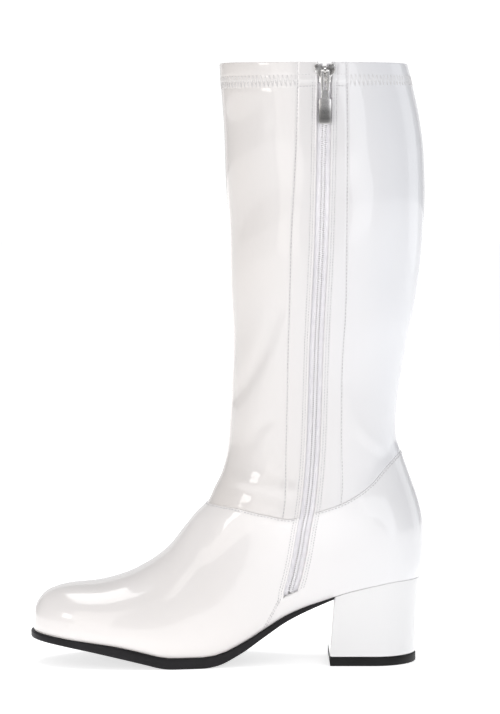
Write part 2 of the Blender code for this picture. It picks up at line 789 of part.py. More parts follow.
def cut(obj, cutter):
    cutter.hide_render = True
    cutter.display_type = "WIRE"
    difference = obj.modifiers.new(cutter.name, "BOOLEAN")
    difference.operation = "DIFFERENCE"
    difference.solver = "EXACT"
    difference.object = cutter


def reach_behind_slider(depth, pick):
    """The least or greatest y, by pick, of the surface at a depth over the slider's height and width."""
    heights = (COLLAR_Z, COLLAR_Z - SLIDER_HEIGHT / 2, COLLAR_Z - SLIDER_HEIGHT)
    offsets = (-SLIDER_WIDTH / 2, 0.0, SLIDER_WIDTH / 2)
    return pick(zip_point(collar_loop_at(z), offset, depth)[1] for z in heights for offset in offsets)


def slider_place():
    """Middle of the slider: x, the back of its front plate in front of the hem, and its top."""
    x = float(zip_middle(COLLAR_Z - SLIDER_HEIGHT / 2))
    front = reach_behind_slider(SEAM_STEP - HEM_STEP, min) - GAP
    return x, front, COLLAR_Z - SLIDER_TOP_DROP


def make_slider(material):
    """Y-shaped front plate, back plate behind the tapes, the post between them, and the bridge."""
    x, front, top = slider_place()
    foot = ZIP_OPENING / 2 - SLIDER_FOOT_CLEARANCE
    right = [
        (SLIDER_WIDTH / 2 * shoulders + foot * narrow, top - SLIDER_HEIGHT * down)
        for shoulders, narrow, down in SLIDER_OUTLINE
    ]
    left = [(-a, b) for a, b in reversed(right)]
    outline = [(x + a, b) for a, b in right + left]
    plate = prism("zip_slider", outline, front - SLIDER_PLATE, front, material)
    behind = reach_behind_slider(tape_depth() + TAPE_THICKNESS, max) + GAP
    back_outline = [(x + a * SLIDER_BACK_SHARE, b) for a, b in right + left]
    back_plate = prism("slider_back", back_outline, behind, behind + SLIDER_PLATE, material)
    post = TAPE_PARTING / 2 - GAP
    post_top = top - POST_DROP
    post_low = post_top - POST_HEIGHT
    post_outline = [(x - post, post_low), (x + post, post_low), (x + post, post_top), (x - post, post_top)]
    near, far = front - SLIDER_PLATE / 2, behind + SLIDER_PLATE / 2
    stem = prism("slider_post", post_outline, near, far, material)
    return join(plate, [back_plate, stem, make_bridge(x, front - SLIDER_PLATE, top, material)])


def pull_axis():
    """The pull's axis: the middle of its bar, under the bridge."""
    x, front, top = slider_place()
    return x, front - SLIDER_PLATE - GAP - PULL_BAR / 2, top - BRIDGE_DROP


def make_bridge(x, face, top, material):
    """A thin arch over the pull's bar, in the plane of the swing."""
    axis_y, axis_z = pull_axis()[1:]
    inside = PULL_BAR / 2 + GAP
    outside = inside + BRIDGE_THICKNESS
    root = face + HIDDEN_OVERLAP
    foot = BRIDGE_HEIGHT / 2
    arc = [math.pi * i / 8 for i in range(9)]
    outer = [(axis_y - outside * math.sin(a), axis_z + outside * math.cos(a)) for a in arc]
    inner = [(axis_y - inside * math.sin(a), axis_z + inside * math.cos(a)) for a in arc]
    outer = [(root, axis_z + foot)] + outer + [(root, axis_z - foot)]
    inner = [(root, axis_z + inside)] + inner + [(root, axis_z - inside)]
    outline = outer + list(reversed(inner))
    return prism("slider_bridge", outline, x - BRIDGE_WIDTH / 2, x + BRIDGE_WIDTH / 2, material, "x")


def make_pull(material):
    """Long loop round the bridge, a neck and a flat tab with rounded corners."""
    x, y, z = pull_axis()
    loop_half, neck_half, tab_half = PULL_LOOP_WIDTH / 2, PULL_NECK_WIDTH / 2, PULL_TAB_WIDTH / 2
    loop_end = -PULL_LOOP_LENGTH
    neck_end = loop_end - PULL_NECK_LENGTH
    tab_end = neck_end - PULL_TAB_LENGTH
    corner = PULL_CORNER
    right = [
        (loop_half, 0.0),
        (loop_half, loop_end + corner),
        (neck_half, loop_end),
        (neck_half, neck_end),
        (tab_half - corner, neck_end - corner / 2),
        (tab_half, neck_end - corner * 2),
        (tab_half, tab_end + corner),
        (tab_half - corner, tab_end),
    ]
    half = PULL_THICKNESS / 2
    outline = right + [(-a, b) for a, b in reversed(right)]
    pull = prism("zip_pull", outline, -half, half, material)
    slot_half = BRIDGE_WIDTH / 2 + GAP
    slot_top, slot_low = PULL_BAR, loop_end + PULL_LOOP_END
    slot = [(-slot_half, slot_top), (slot_half, slot_top), (slot_half, slot_low), (-slot_half, slot_low)]
    cut(pull, prism("pull_slot", slot, -PULL_LOOP_WIDTH, PULL_LOOP_WIDTH, material))
    turns = [2 * math.pi * i / 16 for i in range(16)]
    ring = [(PULL_BAR / 2 * math.cos(a), PULL_BAR / 2 * math.sin(a)) for a in turns]
    bar = prism("pull_bar", ring, -loop_half, loop_half, material, "x")
    join(pull, [bar])
    for piece in (pull, bar, bpy.data.objects["pull_slot"]):
        piece.location = (x, y, z)
    return pull


def new_material(name, colour, roughness, metallic=0.0, coat=0.0):
    material = bpy.data.materials.new(name)
    material.use_nodes = True
    shader = material.node_tree.nodes["Principled BSDF"]
    shader.inputs["Base Color"].default_value = (*colour, 1)
    shader.inputs["Roughness"].default_value = roughness
    shader.inputs["Metallic"].default_value = metallic
    shader.inputs["Coat Weight"].default_value = coat
    material.diffuse_color = (*colour, 1)
    return material


def main():
    for obj in list(bpy.data.objects):
        bpy.data.objects.remove(obj, do_unlink=True)
    patent = new_material("white patent leather", (0.86, 0.85, 0.84), 0.22, coat=1.0)
    stretch = new_material("white stretch patent", (0.88, 0.87, 0.87), 0.20, coat=1.0)
    heel_cover = new_material("white heel cover", (0.86, 0.85, 0.84), 0.22, coat=1.0)
    black = new_material("black sole rubber", (0.015, 0.014, 0.016), 0.42)
    lift = new_material("black lift rubber", (0.018, 0.017, 0.018), 0.5)
    lining = new_material("beige insole", (0.72, 0.68, 0.63), 0.8)
    tape = new_material("white zip tape", (0.80, 0.78, 0.81), 0.75)
    coil = new_material("white zip coil", (0.84, 0.83, 0.86), 0.4)
    metal = new_material("polished nickel", (0.62, 0.61, 0.60), 0.22, metallic=1.0)
    make_upper(patent)
    make_shaft(stretch)
    make_insole(lining)
    make_outsole(black)
    make_heel_block(heel_cover)
    make_top_lift(lift)
    make_tapes(tape)
    make_coil(coil)
    make_slider(metal)
    make_pull(metal)


main()
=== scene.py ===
"""Looks of the white patent go go boot: leather, seams, zip, sole, light and camera.

X runs from toe to heel, Y from the inner to the outer side, Z up. The leather follows the same loops as
the frame's solids, sampled finer and shaped with folds, turned edges, seams and stitches.
"""

import json
import math
from functools import lru_cache

import bmesh
import bpy
import numpy as np
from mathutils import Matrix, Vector


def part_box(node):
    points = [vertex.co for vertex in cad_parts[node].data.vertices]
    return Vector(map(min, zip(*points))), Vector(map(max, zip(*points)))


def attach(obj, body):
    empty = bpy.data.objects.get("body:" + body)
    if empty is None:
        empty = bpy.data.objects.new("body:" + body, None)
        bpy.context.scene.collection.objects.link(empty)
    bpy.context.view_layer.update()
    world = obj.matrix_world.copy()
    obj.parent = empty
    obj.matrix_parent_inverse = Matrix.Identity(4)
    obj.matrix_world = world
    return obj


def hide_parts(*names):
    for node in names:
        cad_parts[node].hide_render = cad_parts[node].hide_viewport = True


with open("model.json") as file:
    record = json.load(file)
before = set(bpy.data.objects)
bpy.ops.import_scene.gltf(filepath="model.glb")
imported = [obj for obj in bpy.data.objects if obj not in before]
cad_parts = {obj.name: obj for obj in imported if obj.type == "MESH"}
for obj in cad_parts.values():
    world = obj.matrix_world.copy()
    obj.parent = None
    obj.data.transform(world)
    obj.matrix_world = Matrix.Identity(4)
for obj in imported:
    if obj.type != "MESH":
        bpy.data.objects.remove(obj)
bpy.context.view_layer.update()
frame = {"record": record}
FINE = 1.0

# Foot, leg, walls, sole, heel and zip, in metres, as in the frame's solids
FOOT_LENGTH = 0.2621
BALL_WIDTH = 0.090
HEEL_WIDTH = 0.062
TOE_SPRING = 0.0176
TOE_ROUND_LENGTH = 0.036
HEEL_ROUND_LENGTH = 0.030
INSTEP_RISE = 0.0996
COUNTER_RISE = 0.0842
HEEL_CURVE = 0.0157
SHAFT_RISE = 0.2573
SEAM_DEPTH = 0.1299
SEAM_DIP = 0.0234
CALF_DEPTH = 0.133
CALF_WIDTH = 0.098
LEG_SETBACK = 0.0658
UPPER_WALL = 0.0020
SHAFT_WALL = 0.0015
SEAM_STEP = 0.0005
HEM_HEIGHT = 0.0125
HEEL_HEIGHT = 0.0575
HEEL_BASE_LENGTH = 0.0588
HEEL_BASE_WIDTH = 0.0570
HEEL_OVERHANG = 0.0054
HEEL_BREAST_LEAN = 0.0030
HEEL_SEAT_LENGTH = 0.0608
HEEL_HOLLOW = 0.0006
LIFT_THICKNESS = 0.0062
OUTSOLE_THICKNESS = 0.0072
SOLE_LEDGE = 0.0018
GAP = 0.0003
ZIP_OPENING = 0.0088
ZIP_BOTTOM_LOOP = 2
TAPE_WIDTH = 0.0095
TAPE_THICKNESS = 0.0007
TAPE_PARTING = 0.0026
TAPE_CLEARANCE = 0.0006
SLIDER_WIDTH = 0.0140
SLIDER_HEIGHT = 0.0125
SLIDER_PLATE = 0.0013
SLIDER_TOP_DROP = 0.0015
SLIDER_FOOT_CLEARANCE = 0.0004
BRIDGE_WIDTH = 0.0014
BRIDGE_THICKNESS = 0.0010
BRIDGE_HEIGHT = 0.0053
PULL_BAR = 0.0012
PULL_LOOP_WIDTH = 0.0056
PULL_LOOP_LENGTH = 0.0135
PULL_LOOP_END = 0.0012
PULL_NECK_WIDTH = 0.0049
PULL_NECK_LENGTH = 0.0038
PULL_TAB_WIDTH = 0.0081
PULL_TAB_LENGTH = 0.0170
PULL_THICKNESS = 0.0010

HEEL_BACK_X = HEEL_BASE_LENGTH / 2 + HEEL_OVERHANG
TOE_X = HEEL_BACK_X - FOOT_LENGTH
ANKLE_BACK_X = HEEL_BACK_X - HEEL_CURVE
ANKLE_FRONT_X = ANKLE_BACK_X - SEAM_DEPTH
LEG_X = HEEL_BACK_X - LEG_SETBACK
COLLAR_Z = HEEL_HEIGHT + COUNTER_RISE + SHAFT_RISE
BREAST_X = HEEL_BACK_X - HEEL_SEAT_LENGTH
FLAT_REAR, FLAT_FRONT = 0.565, 0.640

SOLE_LINE = (
    # ahead, toe, heel
    (-0.02, 0.00, 1.000),
    (0.07, 0.00, 0.980),
    (0.13, 0.00, 0.930),
    (0.19, 0.00, 0.855),
    (0.26, 0.00, 0.725),
    (0.35, 0.00, 0.520),
    (0.41, 0.00, 0.335),
    (0.47, 0.00, 0.150),
    (0.53, 0.00, 0.022),
    (FLAT_REAR, 0.00, 0.000),
    (FLAT_FRONT, 0.00, 0.000),
    (0.66, 0.020, 0.000),
    (0.68, 0.075, 0.000),
    (0.70, 0.155, 0.000),
    (0.775, 0.42, 0.000),
    (0.85, 0.65, 0.000),
    (0.92, 0.82, 0.000),
    (1.01, 1.00, 0.000),
)
SOLE_EDGE = (
    # ahead, thick
    (0.00, 0.00),
    (0.13, 0.00),
    (0.23, 0.17),
    (0.32, 0.48),
    (0.41, 0.72),
    (0.50, 0.95),
    (0.58, 1.00),
    (0.70, 1.00),
    (0.77, 0.98),
    (0.85, 0.78),
    (0.92, 0.66),
    (1.01, 0.64),
)
PLAN = (
    # ahead, inner heel, inner ball, outer heel, outer ball
    (0.00, 0.50, 0.00, 0.50, 0.00),
    (0.12, 0.50, 0.00, 0.51, 0.00),
    (0.25, 0.49, 0.00, 0.52, 0.00),
    (0.35, 0.36, 0.085, 0.38, 0.12),
    (0.45, 0.18, 0.25, 0.20, 0.285),
    (0.55, 0.04, 0.41, 0.05, 0.44),
    (0.65, 0.00, 0.48, 0.00, 0.505),
    (0.72, 0.00, 0.49, 0.00, 0.510),
    (0.80, 0.00, 0.475, 0.00, 0.465),
    (0.88, 0.00, 0.43, 0.00, 0.370),
    (0.94, 0.00, 0.395, 0.00, 0.280),
    (1.01, 0.00, 0.365, 0.00, 0.205),
)
SECTION = (
    # ahead, tuck, crown
    (0.00, 0.935, 2.00),
    (0.20, 0.93, 2.00),
    (0.35, 0.86, 1.85),
    (0.50, 0.90, 1.90),
    (0.65, 0.94, 2.10),
    (0.80, 0.95, 2.40),
    (1.00, 0.95, 2.70),
)
WIDEST_LEVEL = 0.22
CROWN_POWER = 2.1
TOE_POWER = 2.4
HEEL_POWER = 2.2
LEG_POWER = 2.1
FOOT_LOOPS = (
    # front along, front rise, back in, back rise, dip, leg
    (0.005, 0.000, 0.17, 0.000, 0.00, 0.00),
    (0.000, 0.064, 0.06, 0.080, 0.04, 0.00),
    (0.015, 0.161, 0.01, 0.160, 0.09, 0.00),
    (0.080, 0.268, 0.00, 0.245, 0.15, 0.00),
    (0.200, 0.331, 0.00, 0.330, 0.18, 0.01),
    (0.363, 0.369, 0.02, 0.412, 0.24, 0.04),
    (0.518, 0.438, 0.08, 0.483, 0.33, 0.10),
    (0.655, 0.552, 0.19, 0.566, 0.46, 0.20),
    (0.775, 0.690, 0.35, 0.660, 0.62, 0.36),
    (0.870, 0.830, 0.54, 0.756, 0.78, 0.56),
    (0.938, 0.928, 0.75, 0.862, 0.91, 0.78),
    (1.000, 1.000, 1.00, 1.000, 1.00, 1.00),
)
SEAM_LINE = (
    # along, dip
    (0.00, 0.00),
    (0.15, 0.30),
    (0.30, 0.68),
    (0.45, 0.98),
    (0.58, 0.97),
    (0.68, 0.94),
    (0.76, 0.84),
    (0.84, 0.64),
    (0.92, 0.28),
    (1.00, 0.00),
)
LEG_LOOPS = (
    # rise, front, back, half width, dip
    (0.035, 0.564, 0.359, 0.378, 0.80),
    (0.075, 0.523, 0.357, 0.381, 0.60),
    (0.130, 0.500, 0.364, 0.388, 0.36),
    (0.200, 0.488, 0.382, 0.400, 0.16),
    (0.280, 0.481, 0.409, 0.420, 0.05),
    (0.370, 0.479, 0.449, 0.446, 0.00),
    (0.470, 0.484, 0.475, 0.470, 0.00),
    (0.570, 0.492, 0.490, 0.490, 0.00),
    (0.670, 0.500, 0.497, 0.500, 0.00),
    (0.770, 0.509, 0.489, 0.501, 0.00),
    (0.860, 0.517, 0.465, 0.498, 0.00),
    (0.930, 0.529, 0.436, 0.494, 0.00),
    (1.000, 0.538, 0.401, 0.490, 0.00),
)
ANKLE_HALF_WIDTH = 0.378
ZIP_LINE = (
    # height, ahead
    (0.000, 0.200),
    (0.123, 0.180),
    (0.147, 0.162),
    (0.186, 0.137),
    (0.228, 0.117),
    (0.269, 0.096),
    (0.315, 0.081),
    (0.381, 0.069),
    (0.546, 0.055),
    (0.709, 0.034),
    (0.897, 0.022),
    (1.020, 0.017),
)
SLIDER_OUTLINE = (
    # shoulders, foot, down
    (0.18, 0.00, 0.176),
    (0.40, 0.00, 0.032),
    (0.72, 0.00, 0.000),
    (0.95, 0.00, 0.096),
    (1.00, 0.00, 0.256),
    (0.93, 0.00, 0.420),
    (0.00, 1.00, 0.660),
    (0.00, 0.94, 0.936),
    (0.00, 0.78, 1.000),
)
# Seams of the strips beside the zip: height as a share of the collar's, then how far the front and the
# back seam lie from the zip's middle line, as shares of the calf's depth.
STRIP_SEAMS = (
    # height, front, back
    (0.20, 0.115, 0.165),
    (0.27, 0.118, 0.162),
    (0.38, 0.136, 0.137),
    (0.50, 0.139, 0.131),
    (0.58, 0.141, 0.136),
    (0.71, 0.149, 0.125),
    (0.93, 0.133, 0.113),
    (1.00, 0.133, 0.106),
)
# Soft folds: where each starts and ends, as shares of the calf's depth ahead of the leg's axis and of
# the collar's height, its bow, width and height in metres, and the side (-1 inner, 1 outer, 0 both).
FOLDS = (
    # ahead0, high0, ahead1, high1, bow, width, height, side
    (0.245, 0.605, 0.465, 0.445, 0.004, 0.0050, -0.0011, -1),
    (0.235, 0.560, 0.400, 0.410, 0.004, 0.0090, 0.0009, -1),
    (0.275, 0.415, 0.365, 0.375, -0.003, 0.0040, -0.0006, -1),
    (0.500, 0.318, 0.170, 0.296, -0.001, 0.0040, 0.0011, -1),
    (0.540, 0.300, 0.180, 0.281, -0.001, 0.0026, -0.0006, -1),
    (-0.090, 0.455, -0.270, 0.362, -0.006, 0.0050, 0.0009, -1),
    (-0.110, 0.430, -0.300, 0.345, -0.006, 0.0030, -0.0006, -1),
    (0.420, 0.560, 0.150, 0.430, 0.004, 0.0070, -0.0009, 1),
    (0.480, 0.330, 0.050, 0.300, -0.002, 0.0045, 0.0010, 1),
    (0.480, 0.300, 0.080, 0.280, -0.002, 0.0030, -0.0006, 1),
    (-0.060, 0.440, -0.290, 0.360, -0.005, 0.0050, 0.0009, 1),
)

SEAM_LOOP = len(FOOT_LOOPS) - 1
COLLAR_LOOP = SEAM_LOOP + len(LEG_LOOPS)


def slopes(xs, ys):
    steps = np.diff(ys) / np.diff(xs)
    inner = np.zeros(len(steps) - 1)
    same_way = steps[:-1] * steps[1:] > 0
    inner[same_way] = 2 * steps[:-1][same_way] * steps[1:][same_way] / (steps[:-1] + steps[1:])[same_way]
    return np.concatenate([steps[:1], inner, steps[-1:]])


def smooth(at, curve):
    """The smooth curve's value at each place, held level beyond its ends."""
    xs, ys, slope = curve
    at = np.minimum(np.maximum(at, xs[0]), xs[-1])
    i = np.minimum(np.maximum(xs.searchsorted(at, side="right") - 1, 0), len(xs) - 2)
    width = xs[i + 1] - xs[i]
    t = (at - xs[i]) / width
    return (
        ys[i] * (1 + 2 * t) * (1 - t) ** 2
        + ys[i + 1] * t * t * (3 - 2 * t)
        + width * (slope[i] * t * (1 - t) ** 2 - slope[i + 1] * t * t * (1 - t))
    )


@lru_cache(None)
def column(table, index):
    return np.array([row[index] for row in table], float)


def curve_through(xs, ys):
    """What smooth needs of a curve: its places, its heights and its slopes."""
    xs = np.array(xs, float)
    ys = np.array(ys, float)
    return xs, ys, slopes(xs, ys)


@lru_cache(None)
def curve(table, index):
    return curve_through(column(table, 0), column(table, index))


def read(table, index, at):
    return smooth(at, curve(table, index))


def ahead_of(x):
    return (HEEL_BACK_X - np.asarray(x, float)) / FOOT_LENGTH


def sole_bottom(x):
    ahead = ahead_of(x)
    return TOE_SPRING * read(SOLE_LINE, 1, ahead) + HEEL_HEIGHT * read(SOLE_LINE, 2, ahead)


def sole_top(x):
    return sole_bottom(x) + OUTSOLE_THICKNESS * read(SOLE_EDGE, 1, ahead_of(x))


def feather(x):
    return sole_top(x) + GAP


def side_widths(x):
    ahead = ahead_of(x)
    inner = HEEL_WIDTH * read(PLAN, 1, ahead) + BALL_WIDTH * read(PLAN, 2, ahead)
    outer = HEEL_WIDTH * read(PLAN, 3, ahead) + BALL_WIDTH * read(PLAN, 4, ahead)
    return inner, outer


def rounding(distance, length, power):
    t = 1 - np.clip(np.asarray(distance, float) / length, 0, 1)
    return (1 - t**power) ** (1 / power)


def loop_values():
    toe_x = TOE_X + column(FOOT_LOOPS, 0) * (ANKLE_FRONT_X - TOE_X)
    toe_z = feather(toe_x) + column(FOOT_LOOPS, 1) * INSTEP_RISE
    heel_x = HEEL_BACK_X - column(FOOT_LOOPS, 2) * HEEL_CURVE
    heel_z = feather(heel_x[0]) + column(FOOT_LOOPS, 3) * COUNTER_RISE
    rise = column(LEG_LOOPS, 0)
    return {
        "front_x": np.concatenate([toe_x, LEG_X - column(LEG_LOOPS, 1) * CALF_DEPTH]),
        "front_z": np.concatenate([toe_z, toe_z[-1] + rise * (COLLAR_Z - toe_z[-1])]),
        "back_x": np.concatenate([heel_x, LEG_X + column(LEG_LOOPS, 2) * CALF_DEPTH]),
        "back_z": np.concatenate([heel_z, heel_z[-1] + rise * (COLLAR_Z - heel_z[-1])]),
        "sole_dip": np.concatenate([1 - column(FOOT_LOOPS, 4), 0 * rise]),
        "seam_dip": np.concatenate([column(FOOT_LOOPS, 4), column(LEG_LOOPS, 4)]),
        "leg": np.concatenate([column(FOOT_LOOPS, 5), 1 + 0 * rise]),
        "leg_width": CALF_WIDTH * np.concatenate([ANKLE_HALF_WIDTH + 0 * toe_x, column(LEG_LOOPS, 3)]),
    }


LOOPS = loop_values()
LOOP_NUMBERS = np.arange(COLLAR_LOOP + 1.0)


LOOP_CURVES = {name: curve_through(LOOP_NUMBERS, values) for name, values in LOOPS.items()}
CREST = curve_through(
    [*LOOPS["front_x"][1 : SEAM_LOOP + 1], HEEL_BACK_X], [*LOOPS["front_z"][1 : SEAM_LOOP + 1], COLLAR_Z]
)


@lru_cache(None)
def loop(name, number):
    return float(smooth(number, LOOP_CURVES[name]))


def foot_half_width(number, x, z):
    inner, outer = side_widths(x)
    ahead = ahead_of(x)
    level = np.clip((z - feather(x)) / (smooth(x, CREST) - feather(x)), 0, 1)
    over = np.clip((level - WIDEST_LEVEL) / (1 - WIDEST_LEVEL), 0, 1)
    under = np.clip((WIDEST_LEVEL - level) / WIDEST_LEVEL, 0, 1)
    crown = (1 - over ** read(SECTION, 2, ahead)) ** (1 / CROWN_POWER)
    tuck = 1 - (1 - read(SECTION, 1, ahead)) * under**2
    toe_start = loop("front_x", number) if number < 1 else TOE_X
    toe = rounding(x - toe_start, TOE_ROUND_LENGTH, TOE_POWER)
    heel = rounding(loop("back_x", number) - x, HEEL_ROUND_LENGTH, HEEL_POWER)
    return (inner + outer) / 2 * crown * tuck * toe * heel


def sole_sag(x):
    edge_x = LOOPS["front_x"][0], LOOPS["back_x"][0]
    edge_z = LOOPS["front_z"][0], LOOPS["back_z"][0]
    return np.interp(x, edge_x, edge_z) - feather(np.clip(x, *edge_x))


def surface(number, along, side):
    """Points of the outer surface on one loop: along from front (0) to back (1), side -1 inner, +1 outer."""
    along = np.asarray(along, float)
    front_x, back_x = loop("front_x", number), loop("back_x", number)
    front_z, back_z = loop("front_z", number), loop("back_z", number)
    x = front_x + along * (back_x - front_x)
    z = front_z + along * (back_z - front_z)
    sag = sole_sag(x) - (1 - along) * sole_sag(front_x) - along * sole_sag(back_x)
    z = z - loop("sole_dip", number) * sag
    z = z - loop("seam_dip", number) * SEAM_DIP * read(SEAM_LINE, 1, along)
    round_leg = (1 - np.abs(2 * along - 1) ** LEG_POWER) ** (1 / LEG_POWER)
    leg = loop("leg", number)
    half = leg * loop("leg_width", number) * round_leg
    if leg < 1:
        half = half + (1 - leg) * foot_half_width(number, x, z)
    inner, outer = side_widths(x)
    bend = (outer - inner) / 2 * (1 - leg)
    return np.stack([x, bend + side * half, z], axis=-1)


def zip_middle(z):
    return LEG_X - CALF_DEPTH * read(ZIP_LINE, 1, z / COLLAR_Z)


def zip_along(number, offset):
    """Shares along a loop at which it passes the zip's middle line, plus offsets towards the heel."""
    offset = np.asarray(offset, float)
    front_x, back_x = loop("front_x", number), loop("back_x", number)
    along = 0.5 + 0 * offset
    for _ in range(4):
        z = surface(number, along, -1)[..., 2]
        along = (zip_middle(z) + offset - front_x) / (back_x - front_x)
    return along


def normals_of(grid):
    round_step = np.roll(grid, -1, axis=1) - np.roll(grid, 1, axis=1)
    up_step = np.gradient(grid, axis=0)
    normal = np.cross(round_step, up_step)
    return normal / np.maximum(np.linalg.norm(normal, axis=2, keepdims=True), 1e-12)


def zip_point(number, offset, depth=0.0):
    """Points beside the zip's middle line at a depth under the outer surface, and their normals."""
    offset = np.asarray(offset, float)
    below = number - 0.1
    here = surface(number, zip_along(number, offset), -1)
    along = surface(number, zip_along(number, offset + 0.002), -1) - here
    down = surface(below, zip_along(below, offset), -1) - here
    normal = np.cross(down, along)
    normal /= np.linalg.norm(normal, axis=-1, keepdims=True)
    return here - normal * depth, normal


# Leather, lining and stitches, in metres
MM = 0.001
EDGE_ROUND = 0.0007
ROWS_FROM_EDGE = (0.0018, 0.0035)
STITCH_RADIUS = 0.00030
HEM_SHOWN = 0.00028
HEM_SOFTNESS = 0.00025
HEM_TURNED = 0.0115
EDGE_TURNED = 0.006
LINING_TOP = 0.0105
LINING_ROOM = 0.005
SLACK_HEIGHT = 0.00045
LEATHER_WALL = 0.0012
SHAFT_LINING = 0.0006
LINING_AIR = 0.00005
HEEL_COVER_RISE = 0.00024
# From stitch to stitch along each row
ZIP_PITCH, FOOT_PITCH, ANKLE_PITCH, STRIP_PITCH, HEM_PITCH = 0.0019, 0.0021, 0.0023, 0.0024, 0.0021
ZIGZAG_PITCH = 0.0030
TOOTH_DEPTH, TOOTH_PITCH, TOOTH_SHIFT = 0.00145, 0.00068, 0.0007
TOOTH_HALF = (0.00165, 0.00036, 0.00058)
POST_HALF, POST_TOP, POST_FOOT = 0.001, 0.0026, 0.0052
HEM_STITCHES = (COLLAR_Z - 0.0170, COLLAR_Z - 0.0088)
FRONT_COUNT, BACK_COUNT, OUTER_COUNT = (round(n * FINE) for n in (30, 26, 96))
SEAM_FINE = (-1.6, -1.0, -0.6, -0.3, 0.0, 0.3, 0.6, 1.0, 1.6)
SLOT_FINE = (6.4, 5.4, 4.7, 4.2, 3.9, 3.5, 3.1, 2.8, 2.4, 2.1, 1.8, 1.5, 1.2, 0.9, 0.6, 0.35, 0.15, 0.0)


def seam_offset(z, index):
    """How far the strip's seam lies from the zip's middle line: index 1 in front of it, 2 behind it."""
    way = -1 if index == 1 else 1
    return way * CALF_DEPTH * read(STRIP_SEAMS, index, z / COLLAR_Z)


def seam_along(number, index):
    along = float(zip_along(number, 0.0))
    for _ in range(3):
        z = float(surface(number, along, -1)[2])
        along = float(zip_along(number, seam_offset(z, index)))
    return along


def row_columns(number):
    """Shares along the inner side, close together at seams and slot, and the offset of each from the slot."""
    per_m = 1 / (loop("back_x", number) - loop("front_x", number))
    front_seam, back_seam = seam_along(number, 1), seam_along(number, 2)
    first = float(zip_along(number, -ZIP_OPENING / 2))
    last = float(zip_along(number, ZIP_OPENING / 2))
    mm = MM * per_m
    seam = np.array(SEAM_FINE) * mm
    slot = np.array(SLOT_FINE) * mm
    quarter = math.pi / 2
    front_end = front_seam + seam[0]
    back_start = back_seam + seam[-1]
    a = front_end * (1 - np.cos(quarter * np.arange(FRONT_COUNT) / FRONT_COUNT))
    b = front_seam + seam
    c = np.linspace(b[-1], first - slot[0], 6)[1:-1]
    d = first - slot
    e = np.linspace(first, last, 8)[1:-1]
    f = last + slot[::-1]
    g = np.linspace(f[-1], back_seam + seam[0], 6)[1:-1]
    h = back_seam + seam
    i = 1 - (1 - back_start) * (1 - np.cos(quarter * np.arange(BACK_COUNT) / BACK_COUNT))[::-1]
    shares = np.concatenate([a, b, c, d, e, f, g, h, i])
    marks = (len(a) + len(b) + len(c) + len(d) - 1, len(a) + len(b) + len(c) + len(d) + len(e))
    beside = np.maximum(first - shares, shares - last) / per_m
    from_seams = np.minimum(abs(shares - front_seam), abs(shares - back_seam)) / per_m
    return shares, beside, from_seams, marks


def leather_grid(numbers):
    """Outer surface on fine loops, with each point's distance from the zip's slot and from the seams."""
    points, beside, from_seams = [], [], []
    turns = np.arange(1, OUTER_COUNT) / OUTER_COUNT
    outer_shares = (1 + np.cos(math.pi * turns)) / 2
    for number in numbers:
        shares, off, seams, marks = row_columns(number)
        inner = surface(number, shares, -1)
        outer = surface(number, outer_shares, 1)
        points.append(np.concatenate([inner, outer]))
        far = np.full(len(outer), 1.0)
        beside.append(np.concatenate([off, far]))
        from_seams.append(np.concatenate([seams, far]))
    return np.array(points), np.array(beside), np.array(from_seams), marks


def turned_edge(distance, radius=EDGE_ROUND):
    """How far a turned edge falls away, rounded, close to its rim."""
    t = 1 - np.clip(distance / radius, 0, 1)
    return radius * (1 - np.sqrt(np.maximum(1 - t * t, 0)))


def groove(distance, width, depth):
    return -depth * np.exp(-((distance / width) ** 2))


def folds(grid):
    """Height of the soft folds at each point."""
    height = np.zeros(grid.shape[:2])
    x, y, z = grid[..., 0], grid[..., 1], grid[..., 2]
    for ahead0, high0, ahead1, high1, bow, width, rise, side in FOLDS:
        a = np.array([LEG_X - ahead0 * CALF_DEPTH, high0 * COLLAR_Z])
        b = np.array([LEG_X - ahead1 * CALF_DEPTH, high1 * COLLAR_Z])
        way = b - a
        length = np.linalg.norm(way)
        way = way / length
        across = np.array([-way[1], way[0]])
        t = ((x - a[0]) * way[0] + (z - a[1]) * way[1]) / length
        inside = np.clip(t, 0, 1)
        off = (x - a[0]) * across[0] + (z - a[1]) * across[1] - bow * 4 * inside * (1 - inside)
        past = (t - inside) * length
        fade = np.sin(math.pi * np.clip(0.12 + 0.76 * inside, 0, 1)) ** 0.7
        here = rise * fade * np.exp(-(off**2 + past**2) / width**2)
        if side:
            here = here / (1 + np.exp(-side * y / 0.004))
        height += here
    return height


def slack(grid):
    """Broad, shallow unevenness of soft leather on the leg."""
    x, y, z = grid[..., 0], grid[..., 1], grid[..., 2]
    high = np.clip((z - 0.13) / 0.05, 0, 1) * np.clip((COLLAR_Z - 0.004 - z) / 0.05, 0, 1)
    wave = np.sin(z * 47 + x * 31 + 1.0) * np.sin(y * 52 + z * 23 + 0.4)
    wave = wave + 0.6 * np.sin(z * 96 - x * 60 + y * 38) * np.sin(x * 44 + 2.0)
    return SLACK_HEIGHT * high * wave


def add_object(name, mesh, material, smooth_angle):
    mesh.materials.append(material)
    mesh.shade_smooth()
    mesh.set_sharp_from_angle(angle=math.radians(smooth_angle))
    obj = bpy.data.objects.new(name, mesh)
    bpy.context.scene.collection.objects.link(obj)
    return obj


def merge(name, points, faces, material, smooth_angle=50):
    mesh = bpy.data.meshes.new(name)
    mesh.from_pydata(np.asarray(points, float).tolist(), [], faces)
    shape = bmesh.new()
    shape.from_mesh(mesh)
    bmesh.ops.remove_doubles(shape, verts=shape.verts, dist=2e-6)
    bmesh.ops.recalc_face_normals(shape, faces=shape.faces)
    shape.to_mesh(mesh)
    shape.free()
    return add_object(name, mesh, material, smooth_angle)


